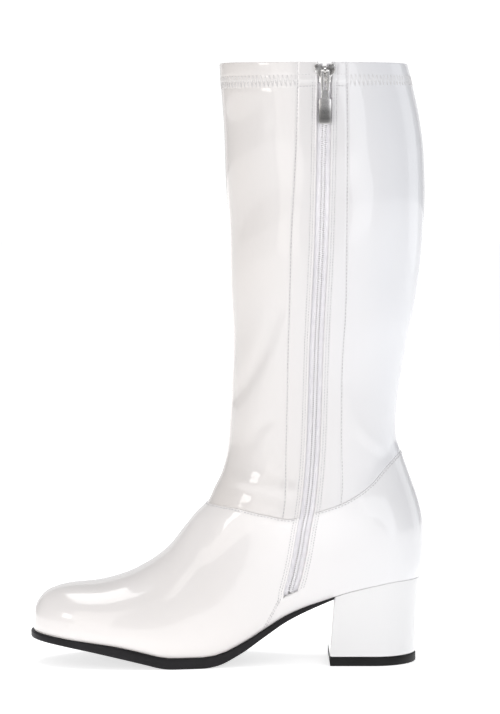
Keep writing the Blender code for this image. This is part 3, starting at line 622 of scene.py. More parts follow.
def shell(name, outer, inner, present, material):
    """A wall between two grids of closed loops, over the cells that are present, closed on itself."""
    rows, columns = outer.shape[:2]
    points = np.concatenate([outer.reshape(-1, 3), inner.reshape(-1, 3)])
    index = np.arange(rows * columns).reshape(rows, columns)
    right = np.roll(index, -1, axis=1)
    size = rows * columns
    faces = []
    cells = present & np.ones((rows - 1, columns), bool)
    for row, place in zip(*np.nonzero(cells)):
        a, b = index[row, place], right[row, place]
        c, d = right[row + 1, place], index[row + 1, place]
        faces.append((a, b, c, d))
        faces.append((d + size, c + size, b + size, a + size))
        if row == 0 or not cells[row - 1, place]:
            faces.append((b, a, a + size, b + size))
        if row == rows - 2 or not cells[row + 1, place]:
            faces.append((d, c, c + size, d + size))
        if not cells[row, place - 1]:
            faces.append((a, d, d + size, a + size))
        if not cells[row, (place + 1) % columns]:
            faces.append((c, b, b + size, c + size))
    used = np.unique([i for face in faces for i in face])
    number = {old: new for new, old in enumerate(used.tolist())}
    faces = [[number[i] for i in map(int, face)] for face in faces]
    return merge(name, points[used], faces, material)


def rows_between(start, end, count, close_start, close_end):
    """Loop numbers from start to end, with extra ones at given distances from either end."""
    low = start + np.array(close_start)
    high = end - np.array(close_end)
    inside = [n for n in np.linspace(start, end, count) if low.max() < n < high.min()]
    return np.array(sorted({float(start), *map(float, low), *inside, *map(float, high), float(end)}))


def distance_down(grid):
    """Distance from each point up its column to the top row."""
    steps = np.linalg.norm(np.diff(grid, axis=0), axis=2)
    return np.concatenate([np.cumsum(steps[::-1], axis=0)[::-1], np.zeros((1, grid.shape[1]))])


def slot_shape(beside):
    """Turned edge along the slot, a little full, then two sewn rows."""
    full = 0.00030 * np.clip(beside / 0.0006, 0, 1) * np.clip((0.0022 - beside) / 0.0009, 0, 1)
    sewn = sum(groove(beside - row, 0.00055, 0.00013) for row in ROWS_FROM_EDGE)
    return np.where(beside > -1e-6, full + sewn - turned_edge(np.maximum(beside, 0)), 0)


def make_upper(material, lining):
    edges = (0.012, 0.03, 0.055, 0.09, 0.13, 0.18, 0.24)
    numbers = rows_between(0.0, SEAM_LOOP, round(118 * FINE), (0.03, 0.08), edges)
    slot_rows = [ZIP_BOTTOM_LOOP + s for s in (-0.14, -0.07, -0.03, 0.0, 0.03, 0.07, 0.14)]
    numbers = np.array(sorted({n for n in numbers if abs(n - ZIP_BOTTOM_LOOP) > 0.16} | set(slot_rows)))
    grid, beside, _, marks = leather_grid(numbers)
    normal = normals_of(grid)
    top = distance_down(grid)
    bottom_row = int(np.argmin(abs(numbers - ZIP_BOTTOM_LOOP)))
    level = np.linalg.norm(grid - grid[bottom_row : bottom_row + 1], axis=2)
    level[:bottom_row] *= -1
    below = level < 0
    corner = np.where(below, np.hypot(np.maximum(beside, 0), level), np.maximum(beside, 0))
    beside_slot = np.where((beside < 0) & below, -level, corner)
    shape = np.where(beside < 0.02, slot_shape(beside_slot), 0)
    shape = shape - turned_edge(top) + groove(top - 0.0015, 0.0005, 0.00018)
    shape = shape + folds(grid) * np.clip(top / 0.004, 0.3, 1)
    outer = grid + normal * shape[..., None]
    present = np.ones((len(numbers) - 1, grid.shape[1]), bool)
    present[bottom_row:, marks[0] : marks[1]] = False
    thick = np.where((top < EDGE_TURNED) | (beside_slot < EDGE_TURNED), UPPER_WALL, LEATHER_WALL)
    leather = shell("upper_leather", outer, grid - normal * thick[..., None], present, material)
    inside = shell(
        "upper_lining",
        (grid - normal * (LEATHER_WALL + LINING_AIR))[::2, :],
        (grid - normal * UPPER_WALL)[::2, :],
        lining_cells(present, beside, top)[::2, :][: len(numbers[::2]) - 1],
        lining,
    )
    return leather, inside


def lining_cells(present, beside, top):
    """Cells that the lining covers: all but those behind the turned edges."""
    free = (beside[:-1] > LINING_ROOM) | (beside[:-1] < -0.5)
    return present & free & (top[1:] > 0.0)


def loop_at(z):
    return float(np.interp(z, LOOPS["front_z"], LOOP_NUMBERS))


def make_shaft(material, lining):
    start = SEAM_LOOP - 0.22
    z_rows = np.linspace(LOOPS["front_z"][SEAM_LOOP] + 0.0015, COLLAR_Z, round(132 * FINE))
    hem = COLLAR_Z - HEM_HEIGHT
    z_rows = [z for z in z_rows if abs(z - hem) > 0.0015 and z < COLLAR_Z - 0.0012]
    z_rows += [hem + d * MM for d in (-1.2, -0.7, -0.35, -0.1, 0.1, 0.35, 0.7, 1.2)]
    z_rows += [COLLAR_Z - d * MM for d in (0.9, 0.65, 0.45, 0.28, 0.14, 0.05, 0.0)]
    z_rows += [z + d * MM for z in HEM_STITCHES for d in (-0.5, 0.0, 0.5)]
    numbers = sorted([start, SEAM_LOOP - 0.1, SEAM_LOOP, SEAM_LOOP + 0.05] + [loop_at(z) for z in z_rows])
    numbers = [n for i, n in enumerate(numbers) if i == 0 or n - numbers[i - 1] > 1e-5]
    grid, beside, seams, marks = leather_grid(numbers)
    normal = normals_of(grid)
    top = distance_down(grid)
    z = grid[..., 2]
    hidden = np.clip((SEAM_LOOP + 0.02 - np.array(numbers)) / 0.06, 0, 1)[:, None]
    shape = -SEAM_STEP - hidden * 0.0008 + 0 * z
    hem_rise = HEM_SHOWN / (1 + np.exp(np.clip((hem - z) / HEM_SOFTNESS, -60, 60)))
    sewn = sum(groove(z - row, 0.0006, 0.00008) for row in HEM_STITCHES)
    shape = shape + hem_rise + sewn
    shape = shape + slot_shape(beside) + groove(seams, 0.0006, 0.00032)
    shape = shape - turned_edge(top, 0.0009)
    shape = shape + folds(grid) + slack(grid)
    outer = grid + normal * shape[..., None]
    present = np.ones((len(numbers) - 1, grid.shape[1]), bool)
    present[:, marks[0] : marks[1]] = False
    wall = SHAFT_WALL + SEAM_STEP
    loose = folds(grid) + slack(grid)
    single = (z > COLLAR_Z - HEM_TURNED) | (beside < EDGE_TURNED)
    thick = np.where(single, wall, wall - SHAFT_LINING) - loose
    leather = shell("shaft_leather", outer, grid - normal * thick[..., None], present, material)
    covered = present & (beside[:-1] > LINING_ROOM) & (z[:-1] < COLLAR_Z - LINING_TOP)
    lining_outer = grid - normal * (wall - SHAFT_LINING + LINING_AIR - loose)[..., None]
    lining_inner = grid - normal * (wall - loose)[..., None]
    keep = np.unique(np.append(np.arange(0, len(numbers), 2), len(numbers) - 1))
    inside = shell("shaft_lining", lining_outer[keep], lining_inner[keep], covered[keep[:-1]], lining)
    return leather, inside


def foot_edge(x, grow):
    inner, outer = side_widths(x)
    tuck = read(SECTION, 1, ahead_of(x))
    toe = rounding(x - (LOOPS["front_x"][0] - grow), TOE_ROUND_LENGTH + grow, TOE_POWER)
    heel = rounding(LOOPS["back_x"][0] + grow - x, HEEL_ROUND_LENGTH + grow, HEEL_POWER)
    half = np.maximum(((inner + outer) / 2 * tuck + grow) * toe * heel, 1e-5)
    middle = (outer - inner) / 2
    return middle - half, middle + half


def spread(start, end, count, round_start=True, round_end=False):
    """Places from start to end, close together at the rounded ends."""
    t = np.linspace(0, 1, count)
    if round_start and round_end:
        t = (1 - np.cos(math.pi * t)) / 2
    elif round_start:
        t = 1 - np.cos(math.pi / 2 * t)
    elif round_end:
        t = np.sin(math.pi / 2 * t)
    return start + (end - start) * t


def slab(name, levels, material, across):
    """A solid from outlines one above the other, each (x, inner y, outer y, z), with gridded caps."""
    count = len(levels[0][0])
    points, faces = [], []
    for x, inner, outer, z in levels:
        points += [(x[i], inner[i], z[i]) for i in range(count)]
        points += [(x[i], outer[i], z[i]) for i in range(count)]
    ring = list(range(count)) + list(range(2 * count - 1, count - 1, -1))
    size = 2 * count
    for number in range(len(levels) - 1):
        low, high = number * size, (number + 1) * size
        for i, a in enumerate(ring):
            b = ring[(i + 1) % size]
            faces.append([low + a, low + b, high + b, high + a])
    for level, flip in ((levels[0], True), (levels[-1], False)):
        x, inner, outer, z = level
        base = len(points)
        for i in range(count):
            for k in range(across + 1):
                points.append((x[i], inner[i] + (outer[i] - inner[i]) * k / across, z[i]))
        for i in range(count - 1):
            for k in range(across):
                a = base + i * (across + 1) + k
                quad = [a, a + across + 1, a + across + 2, a + 1]
                faces.append(quad if not flip else quad[::-1])
    return merge(name, points, faces, material, 40)


def make_outsole(material):
    tip, end = LOOPS["front_x"][0], BREAST_X - GAP
    levels = []
    bevel = 0.0009
    profile = ((bevel, 0.0), (bevel * 0.45, bevel * 0.25), (bevel * 0.1, bevel * 0.7), (0.0, bevel * 1.2))
    for inset, rise in profile:
        levels.append(("low", inset, rise))
    for share in (0.35, 0.65):
        levels.append(("share", 0.0, share))
    for inset, drop in ((0.0, 0.0006), (0.0001, 0.0003), (0.0003, 0.0001), (0.0006, 0.0)):
        levels.append(("high", inset, drop))
    made = []
    for kind, inset, value in levels:
        grow = SOLE_LEDGE - inset
        xs = spread(tip - grow, end, round(150 * FINE))
        low, high = sole_bottom(xs), sole_top(xs)
        thick = high - low
        scale = np.clip(thick / 0.0024, 0, 1)
        if kind == "low":
            z = low + value * scale
        elif kind == "high":
            z = high - value * scale
        else:
            z = low + bevel * scale + (thick - bevel * scale) * value
        inner, outer = foot_edge(xs, grow)
        made.append((xs, inner, outer, z))
    return slab("outsole_rubber", made, material, 10)


def heel_base(xs, shrink):
    back = HEEL_BASE_LENGTH / 2 - shrink
    return np.maximum((HEEL_BASE_WIDTH / 2 - shrink) * rounding(back - xs, HEEL_BASE_WIDTH / 2, 2.0), 1e-5)


def make_heel(material):
    seat_end = LOOPS["back_x"][0]
    floor = LIFT_THICKNESS + 0.0001
    count = round(84 * FINE)
    ups = [0.0, 0.012, 0.03, *np.linspace(0.06, 0.97, 14), 0.99, 1.0]
    levels = []
    for up in ups:
        inset = 0.0006 * (max(0.0, 1 - up / 0.02) ** 2 + max(0.0, (up - 0.985) / 0.015) ** 2)
        t = spread(0, 1, count, False, True)
        edge = 0.0008
        t = np.concatenate([[0.0], edge / 0.06 * np.array([0.1, 0.35, 0.7, 1.2]), t[2:]])
        seat = BREAST_X + (seat_end - BREAST_X) * t
        seat_inner, seat_outer = foot_edge(seat, 0.0)
        breast, back = BREAST_X - HEEL_BREAST_LEAN, HEEL_BASE_LENGTH / 2
        base = breast + (back - breast) * t
        half = heel_base(base, 0.0)
        hollow = HEEL_HOLLOW * math.sin(math.pi * up)
        middle = (seat_inner + seat_outer) / 2 * up
        x = base + (seat - base) * up
        nose = edge * (1 - np.sqrt(np.clip(1 - (1 - np.clip((x - x[0]) / edge, 0, 1)) ** 2, 0, 1)))
        inner = -half + (seat_inner + half) * up + hollow + nose + inset
        outer = half + (seat_outer - half) * up - hollow - nose - inset
        inner = np.minimum(inner, middle - 1e-5)
        outer = np.maximum(outer, middle + 1e-5)
        x = x[0] + inset + (x - x[0]) * (1 - 2 * inset / (x[-1] - x[0]))
        z = floor + (sole_top(seat) + HEEL_COVER_RISE - floor) * up
        levels.append((x, inner, outer, z))
    return slab("heel_cover", levels, material, 6)


def make_lift(material):
    levels = []
    for shrink, z in (
        (0.0009, 0.0),
        (0.0004, 0.00015),
        (0.0001, 0.0005),
        (0.0, 0.001),
        (0.0, 0.0030),
        (0.0, LIFT_THICKNESS - 0.0006),
        (0.0002, LIFT_THICKNESS - 0.0002),
        (0.0005, LIFT_THICKNESS),
    ):
        count = round(72 * FINE)
        xs = spread(BREAST_X - HEEL_BREAST_LEAN + shrink, HEEL_BASE_LENGTH / 2 - shrink, count, False, True)
        half = heel_base(xs, shrink)
        levels.append((xs, -half, half, 0 * xs + z))
    return slab("lift_rubber", levels, material, 6)


def make_insole(material):
    levels = []
    for inset, rise in (
        (0.0, 0.0001),
        (-0.0004, 0.0008),
        (-0.0002, 0.0018),
        (0.0008, 0.0028),
        (0.0024, 0.0036),
        (0.0050, 0.0041),
    ):
        grow = -(UPPER_WALL + 0.0004) - inset
        start, end = LOOPS["front_x"][0] - grow, LOOPS["back_x"][0] + grow
        xs = spread(start, end, round(110 * FINE), True, True)
        inner, outer = foot_edge(xs, grow)
        levels.append((xs, inner, outer, sole_top(xs) + GAP + rise))
    return slab("insole_sock", levels, material, 12)


def principled(name, colour, roughness, metallic=0.0, coat=0.0):
    material = bpy.data.materials.new(name)
    material.use_nodes = True
    shader = material.node_tree.nodes["Principled BSDF"]
    shader.inputs["Base Color"].default_value = (*colour, 1)
    shader.inputs["Roughness"].default_value = roughness
    shader.inputs["Metallic"].default_value = metallic
    shader.inputs["Coat Weight"].default_value = coat
    return material, shader


def tree(material):
    return material.node_tree.nodes, material.node_tree.links


def object_place(material):
    return material.node_tree.nodes.new("ShaderNodeTexCoord").outputs["Object"]


def object_share(material, axis, start, end):
    """How far a point lies from start to end along one of the object's own axes."""
    nodes, links = tree(material)
    split = nodes.new("ShaderNodeSeparateXYZ")
    links.new(object_place(material), split.inputs["Vector"])
    reach = nodes.new("ShaderNodeMapRange")
    reach.inputs["From Min"].default_value = start
    reach.inputs["From Max"].default_value = end
    links.new(split.outputs[axis], reach.inputs["Value"])
    return reach.outputs["Result"]


def noise(material, scale, detail=3.0):
    nodes, links = tree(material)
    texture = nodes.new("ShaderNodeTexNoise")
    texture.inputs["Scale"].default_value = scale
    texture.inputs["Detail"].default_value = detail
    links.new(object_place(material), texture.inputs["Vector"])
    return texture.outputs["Fac"]


def bump(material, shader, height, distance, strength):
    nodes, links = tree(material)
    node = nodes.new("ShaderNodeBump")
    node.inputs["Strength"].default_value = strength
    node.inputs["Distance"].default_value = distance
    links.new(height, node.inputs["Height"])
    links.new(node.outputs["Normal"], shader.inputs["Normal"])


def vary(material, shader, factor, dark, light, low=0.35, high=0.65):
    nodes, links = tree(material)
    ramp = nodes.new("ShaderNodeValToRGB")
    ramp.color_ramp.elements[0].position = low
    ramp.color_ramp.elements[0].color = (*dark, 1)
    ramp.color_ramp.elements[1].position = high
    ramp.color_ramp.elements[1].color = (*light, 1)
    links.new(factor, ramp.inputs["Fac"])
    links.new(ramp.outputs["Color"], shader.inputs["Base Color"])


def patent(name, toe_side_painted_light, heel_side_painted_light, grain=0.00002):
    """Glossy white leather, faintly cloudy, tinted warm at the toe and cool at the heel as painted light."""
    material, shader = principled(name, heel_side_painted_light, 0.30, coat=1.0)
    shader.inputs["Coat Roughness"].default_value = 0.05
    nodes, links = tree(material)
    # The tint's share along X is painted light; the noise adds a faint random cloudiness.
    cloudiness_and_painted_light = nodes.new("ShaderNodeMath")
    cloudiness_and_painted_light.operation = "MULTIPLY_ADD"
    cloudiness_and_painted_light.inputs[1].default_value = 0.3
    links.new(noise(material, 9.0), cloudiness_and_painted_light.inputs[0])
    links.new(object_share(material, "X", -0.10, 0.03), cloudiness_and_painted_light.inputs[2])
    vary(material, shader, cloudiness_and_painted_light.outputs["Value"], toe_side_painted_light, heel_side_painted_light, 0.10, 1.15)
    bump(material, shader, noise(material, 420.0, 2.0), grain, 0.5)
    return material


def rubber(name, dark, light, roughness):
    material, shader = principled(name, light, roughness)
    shader.inputs["Specular IOR Level"].default_value = 0.25
    vary(material, shader, noise(material, 60.0, 4.0), dark, light)
    bump(material, shader, noise(material, 900.0), 0.00006, 0.6)
    return material


def cloth(name, dark, light, scale=1400.0, depth=0.0002):
    """Matte fabric with a fine diagonal weave."""
    material, shader = principled(name, light, 0.85)
    shader.inputs["Sheen Weight"].default_value = 0.2
    vary(material, shader, noise(material, 220.0), dark, light)
    nodes, links = tree(material)
    wave = nodes.new("ShaderNodeTexWave")
    wave.wave_type = "BANDS"
    wave.bands_direction = "DIAGONAL"
    wave.inputs["Scale"].default_value = scale
    links.new(object_place(material), wave.inputs["Vector"])
    bump(material, shader, wave.outputs["Fac"], depth, 0.5)
    return material


def finish(obj, node, body="boot"):
    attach(obj, body)
    if node:
        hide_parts(node)
    return obj


# Painted light in each leather's two tints: warm at the toe (darker on the shaft, as painted shade), cool at
# the heel.
white_upper = patent("white patent leather", (0.81, 0.78, 0.765), (0.78, 0.78, 0.795))
white_shaft = patent("white stretch patent", (0.70, 0.660, 0.630), (0.755, 0.76, 0.785), 0.00003)
white_heel = patent("white patent heel cover", (0.77, 0.755, 0.75), (0.77, 0.77, 0.775))
black_rubber = rubber("black sole rubber", (0.004, 0.0035, 0.0045), (0.008, 0.007, 0.009), 0.42)
lift_rubber = rubber("black heel lift", (0.003, 0.003, 0.0032), (0.006, 0.0058, 0.0062), 0.5)
lining_cloth = cloth("pale knitted lining", (0.78, 0.76, 0.74), (0.88, 0.86, 0.84))
sock_cloth = cloth("pale insole cover", (0.66, 0.63, 0.60), (0.74, 0.71, 0.67), 900.0)

upper_leather, upper_lining = make_upper(white_upper, lining_cloth)
finish(upper_leather, "upper")
finish(upper_lining, None)
shaft_leather, shaft_lining = make_shaft(white_shaft, lining_cloth)
finish(shaft_leather, "shaft")
finish(shaft_lining, None)
finish(make_outsole(black_rubber), "outsole")
finish(make_heel(white_heel), "heel_block")
finish(make_lift(lift_rubber), "top_lift")
insole = finish(make_insole(sock_cloth), "insole")


def beads(name, centres, along, normals, half_length, half_width, half_height, material):
    """Many small rounded threads or teeth in one mesh."""
    centres, along, normals = (np.asarray(v, float) for v in (centres, along, normals))
    along = along / np.linalg.norm(along, axis=1, keepdims=True)
    across = np.cross(normals, along)
    across /= np.linalg.norm(across, axis=1, keepdims=True)
    up = np.cross(along, across)
    half_length = np.broadcast_to(half_length, len(centres))[:, None]
    rings, sides = 4, 6
    turns = [math.pi * k / (rings + 1) for k in range(1, rings + 1)]
    template = [(-1.0, 0.0, 0.0)]
    for turn in turns:
        for side in range(sides):
            spin = 2 * math.pi * side / sides
            radius = math.sin(turn) ** 0.6
            template.append((-math.cos(turn), radius * math.cos(spin), radius * math.sin(spin)))
    template.append((1.0, 0.0, 0.0))
    template = np.array(template)
    size = len(template)
    points = (
        centres[:, None]
        + template[None, :, :1] * (half_length * along)[:, None]
        + template[None, :, 1:2] * (half_width * across)[:, None]
        + template[None, :, 2:] * (half_height * up)[:, None]
    ).reshape(-1, 3)
    faces = []
    for i in range(len(centres)):
        base = i * size
        for side in range(sides):
            after = (side + 1) % sides
            faces.append((base, base + 1 + after, base + 1 + side))
            for ring in range(rings - 1):
                a = base + 1 + ring * sides
                faces.append((a + side, a + after, a + sides + after, a + sides + side))
            last = base + 1 + (rings - 1) * sides
            faces.append((last + side, last + after, base + size - 1))
    return merge(name, points, faces, material, 80)


def along_path(points, normals, pitch):
    """Evenly spaced places on a path: centres, directions and normals."""
    steps = np.linalg.norm(np.diff(points, axis=0), axis=1)
    reach = np.concatenate([[0], np.cumsum(steps)])
    count = max(2, int(reach[-1] / pitch))
    at = (np.arange(count) + 0.5) * reach[-1] / count
    centre = np.stack([np.interp(at, reach, points[:, k]) for k in range(3)], axis=1)
    ahead = np.stack([np.interp(at + pitch * 0.3, reach, points[:, k]) for k in range(3)], axis=1)
    behind = np.stack([np.interp(at - pitch * 0.3, reach, points[:, k]) for k in range(3)], axis=1)
    normal = np.stack([np.interp(at, reach, normals[:, k]) for k in range(3)], axis=1)
    return centre, ahead - behind, normal


def dressed(points, normals, number, lift):
    """Points moved on to the leather as it is dressed, with its folds, and lifted off it."""
    height = folds(points[None])[0]
    if number > SEAM_LOOP:
        height = height + slack(points[None])[0] - SEAM_STEP
    return points + normals * (height + lift)[:, None]


def zip_path(numbers, offsets, lift):
    points, normals = [], []
    for number, offset in zip(numbers, offsets):
        point, normal = zip_point(number, offset)
        points.append(dressed(point[None], normal[None], number, np.array([lift]))[0])
        normals.append(normal)
    return np.array(points), np.array(normals)


def whole_loop(number, lift, count=420):
    """A path right round the boot on one loop."""
    turns = np.arange(count) / count
    shares = (1 - np.cos(2 * math.pi * turns)) / 2
    half = count // 2
    rows = []
    for n in (number - 0.06, number, number + 0.06):
        inner = surface(n, shares[: half + 1], -1)
        outer = surface(n, shares[half + 1 :], 1)
        rows.append(np.concatenate([inner, outer]))
    grid = np.array(rows)
    normal = normals_of(grid)[1]
    return dressed(grid[1], normal, number, np.full(count, lift)), normal


def add_seams(thread, hem_thread):
    """All sewn rows: both sides of the slot, the strips' seams, the ankle seam and the hem."""
    centres, ways, normals, lengths = [], [], [], []

    def sew(points, normal, pitch, keep=None):
        c, w, n = along_path(points, normal, pitch)
        if keep is not None:
            kept = keep(c)
            c, w, n = c[kept], w[kept], n[kept]
        centres.append(c)
        ways.append(w)
        normals.append(n)
        lengths.append(np.full(len(c), pitch * 0.36))

    top = loop_at(COLLAR_Z - 0.0015)
    for way in (-1, 1):
        for row in ROWS_FROM_EDGE:
            off = way * (ZIP_OPENING / 2 + row)
            low = np.linspace(ZIP_BOTTOM_LOOP + 0.05, SEAM_LOOP - 0.02, 60)
            high = np.linspace(SEAM_LOOP + 0.03, top, 150)
            for part in (low, high):
                sew(*zip_path(part, np.full(len(part), off), -0.00008), ZIP_PITCH)
    for shift in (0.0, 0.0017):
        numbers = np.linspace(0.16, ZIP_BOTTOM_LOOP + 0.05, 30)
        offsets = -(ZIP_OPENING / 2 + ROWS_FROM_EDGE[0] + shift) - (ZIP_BOTTOM_LOOP + 0.05 - numbers) * 0.0046
        sew(*zip_path(numbers, offsets, 0.00003), FOOT_PITCH)
    for index in (1, 2):
        numbers = np.linspace(SEAM_LOOP + 0.04, top, 150)
        offsets = [seam_offset(float(zip_point(n, 0.0)[0][2]), index) for n in numbers]
        sew(*zip_path(numbers, offsets, -0.00018), STRIP_PITCH)

    def off_slot(points):
        beside = abs(points[:, 0] - zip_middle(points[:, 2]))
        return (beside > ZIP_OPENING / 2 + ROWS_FROM_EDGE[1] + 0.0006) | (points[:, 1] > 0)

    points, normal = whole_loop(SEAM_LOOP - 0.134, -0.00006)
    sew(points, normal, ANKLE_PITCH, off_slot)

    def in_strips(points, grow=0.0):
        offset = points[:, 0] - zip_middle(points[:, 2])
        front, back = seam_offset(points[:, 2], 1) - grow, seam_offset(points[:, 2], 2) + grow
        return (offset > front) & (offset < back) & (points[:, 1] < 0)

    for z in HEM_STITCHES:
        points, normal = whole_loop(loop_at(z), 0.0001)
        sew(points, normal, HEM_PITCH, lambda c: in_strips(c) & off_slot(c))
    rows = [np.concatenate(values) for values in (centres, ways, normals, lengths)]
    flat = beads("seam_stitches", *rows, STITCH_RADIUS, STITCH_RADIUS * 0.8, thread)
    low, low_normal = whole_loop(loop_at(HEM_STITCHES[0]), 0.00006, 720)
    high, high_normal = whole_loop(loop_at(HEM_STITCHES[1]), HEM_SHOWN + 0.00002, 720)
    low, high = (np.concatenate([p, p[:1]]) for p in (low, high))
    low_normal, high_normal = (np.concatenate([p, p[:1]]) for p in (low_normal, high_normal))
    a, _, na = along_path(low, low_normal, ZIGZAG_PITCH)
    b, _, _ = along_path(high, high_normal, np.linalg.norm(np.diff(high, axis=0), axis=1).sum() / len(a))
    count = min(len(a), len(b))
    a, b, na = a[:count], b[:count], na[:count]
    shifted = (b + np.roll(b, -1, axis=0)) / 2
    legs_from = np.concatenate([a, np.roll(a, -1, axis=0)])
    legs_to = np.concatenate([shifted, shifted])
    middle = (legs_from + legs_to) / 2
    way = legs_to - legs_from
    normal = np.concatenate([na, na])
    keep = ~in_strips(middle, 0.001)
    length = np.linalg.norm(way, axis=1) / 2
    rows = [values[keep] for values in (middle, way, normal, length)]
    zigzag = beads("hem_zigzag", *rows, STITCH_RADIUS * 0.75, STITCH_RADIUS * 0.7, hem_thread)
    return flat, zigzag


def tape_depth():
    return max(UPPER_WALL, SHAFT_WALL + SEAM_STEP) + TAPE_CLEARANCE


def zip_rows(start, top_z, count):
    return np.linspace(start, loop_at(top_z), round(count * FINE))


def make_tape(name, way, material):
    """Woven tape with ribs along it and a corded edge beside the teeth."""
    numbers = zip_rows(ZIP_BOTTOM_LOOP - 1, COLLAR_Z - 0.0012, 260)
    shares = np.linspace(0, 1, 26)
    offsets = way * (TAPE_PARTING / 2 + TAPE_WIDTH * shares)
    rib = 0.00007 * np.sin(shares * TAPE_WIDTH / 0.0012 * 2 * math.pi)
    cord = 0.00035 * np.exp(-((shares * TAPE_WIDTH - 0.0006) ** 2) / 0.0007**2)
    front, back = [], []
    for number in numbers:
        point, normal = zip_point(number, offsets, tape_depth())
        front.append(point + normal * (rib + cord)[:, None])
        back.append(point - normal * TAPE_THICKNESS)
    front, back = np.array(front), np.array(back)
    rows, columns = front.shape[:2]
    points = np.concatenate([front.reshape(-1, 3), back.reshape(-1, 3)])
    size = rows * columns
    faces = []
    for r in range(rows - 1):
        for c in range(columns - 1):
            a = r * columns + c
            quad = (a, a + 1, a + columns + 1, a + columns)
            faces.append(quad)
            faces.append(tuple(size + i for i in reversed(quad)))
        for c, flip in ((0, False), (columns - 1, True)):
            a = r * columns + c
            side = (a, a + columns, a + columns + size, a + size)
            faces.append(side[::-1] if flip else side)
    for r in (0, rows - 1):
        for c in range(columns - 1):
            a = r * columns + c
            faces.append((a, a + 1, a + 1 + size, a + size))
    return merge(name, points, faces, material, 60)


def make_teeth(material):
    """The closed row of coil teeth: short rounded bars from the left and the right in turn."""
    numbers = zip_rows(ZIP_BOTTOM_LOOP + 0.1, COLLAR_Z - SLIDER_HEIGHT + 0.003, 400)
    centres, normals = [], []
    for number in numbers:
        point, normal = zip_point(number, 0.0, TOOTH_DEPTH)
        centres.append(point)
        normals.append(normal)
    centre, way, normal = along_path(np.array(centres), np.array(normals), TOOTH_PITCH)
    across = np.cross(normal, way)
    across /= np.linalg.norm(across, axis=1, keepdims=True)
    turn = np.where(np.arange(len(centre)) % 2, 1.0, -1.0)[:, None]
    return beads("zip_teeth", centre + across * turn * TOOTH_SHIFT, across, normal, *TOOTH_HALF, material)


def rounded(name, islands, bevel, material):
    """Solid plates, each an outline and two depths along Y (or X), with rounded edges, in one piece."""
    shape = bmesh.new()
    for outline, low, high, across in islands:
        part = []
        for depth in (low, high):
            part.append(
                [shape.verts.new((a, depth, b) if across == "y" else (depth, a, b)) for a, b in outline]
            )
        count = len(outline)
        shape.faces.new(part[0])
        shape.faces.new(part[1][::-1])
        for i in range(count):
            shape.faces.new((part[0][i], part[0][(i + 1) % count], part[1][(i + 1) % count], part[1][i]))
    bmesh.ops.recalc_face_normals(shape, faces=shape.faces)
    sharp = [edge for edge in shape.edges if edge.calc_face_angle(0) > 0.5]
    bmesh.ops.bevel(
        shape, geom=sharp, offset=bevel, segments=3, profile=0.5, affect="EDGES", clamp_overlap=True
    )
    bmesh.ops.triangulate(shape, faces=[f for f in shape.faces if len(f.verts) > 4])
    mesh = bpy.data.meshes.new(name)
    shape.to_mesh(mesh)
    shape.free()
    return add_object(name, mesh, material, 38)


def make_slider(material):
    x = float(zip_middle(COLLAR_Z - SLIDER_HEIGHT / 2))
    top = COLLAR_Z - SLIDER_TOP_DROP
    axis = PULL_AXIS
    face = axis[1] + PULL_BAR / 2 + GAP
    front = face + SLIDER_PLATE
    foot = ZIP_OPENING / 2 - SLIDER_FOOT_CLEARANCE
    right = [
        (SLIDER_WIDTH / 2 * shoulders + foot * narrow, top - SLIDER_HEIGHT * down)
        for shoulders, narrow, down in SLIDER_OUTLINE
    ]
    left = [(-a, b) for a, b in reversed(right)]
    plate = [(x + a, b) for a, b in right + left]
    back = [(x + a * 0.9, b) for a, b in right + left]
    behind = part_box("zip_slider")[1][1]
    post_high, post_low = top - POST_TOP, top - POST_FOOT
    post = [(x - POST_HALF, post_low), (x + POST_HALF, post_low)]
    post += [(x + POST_HALF, post_high), (x - POST_HALF, post_high)]
    islands = [
        (plate, face, front, "y"),
        (back, behind - SLIDER_PLATE, behind, "y"),
        (post, front - 0.0006, behind - SLIDER_PLATE / 2, "y"),
    ]
    inside = PULL_BAR / 2 + GAP
    outside = inside + BRIDGE_THICKNESS
    arc = [math.pi * i / 14 for i in range(15)]
    outer = [(axis[1] - outside * math.sin(a), axis[2] + outside * math.cos(a)) for a in arc]
    inner = [(axis[1] - inside * math.sin(a), axis[2] + inside * math.cos(a)) for a in arc]
    root = face + 0.0004
    outline = [(root, axis[2] + BRIDGE_HEIGHT / 2)] + outer + [(root, axis[2] - BRIDGE_HEIGHT / 2)]
    outline += [(root, axis[2] - inside)] + inner[::-1] + [(root, axis[2] + inside)]
    islands.append((outline, x - BRIDGE_WIDTH / 2, x + BRIDGE_WIDTH / 2, "x"))
    return rounded("slider_body", islands, 0.00028, material)


def make_pull(material):
    loop_half, neck_half, tab_half = PULL_LOOP_WIDTH / 2, PULL_NECK_WIDTH / 2, PULL_TAB_WIDTH / 2
    slot_half = BRIDGE_WIDTH / 2 + GAP
    loop_end = -PULL_LOOP_LENGTH
    neck_end = loop_end - PULL_NECK_LENGTH
    tab_end = neck_end - PULL_TAB_LENGTH
    slot_low = loop_end + PULL_LOOP_END
    corner = 0.0007
    right = [
        (slot_half, 0.0),
        (loop_half, 0.0),
        (loop_half, loop_end + corner),
        (neck_half, loop_end),
        (neck_half, neck_end),
        (tab_half - corner, neck_end - corner / 2),
        (tab_half, neck_end - corner * 2),
        (tab_half, tab_end + corner),
        (tab_half - corner, tab_end),
    ]
    outline = right + [(-a, b) for a, b in reversed(right)]
    outline += [(-slot_half, slot_low + 0.0004), (-slot_half * 0.5, slot_low)]
    outline += [(slot_half * 0.5, slot_low), (slot_half, slot_low + 0.0004)]
    half = PULL_THICKNESS / 2
    turns = [2 * math.pi * i / 20 for i in range(20)]
    ring = [(PULL_BAR / 2 * math.cos(a), PULL_BAR / 2 * math.sin(a)) for a in turns]
    islands = [(outline, -half, half, "y"), (ring, -loop_half, loop_half, "x")]
    pull = rounded("slider_pull", islands, 0.00022, material)
    pull.location = PULL_AXIS
    bpy.context.view_layer.update()
    return pull


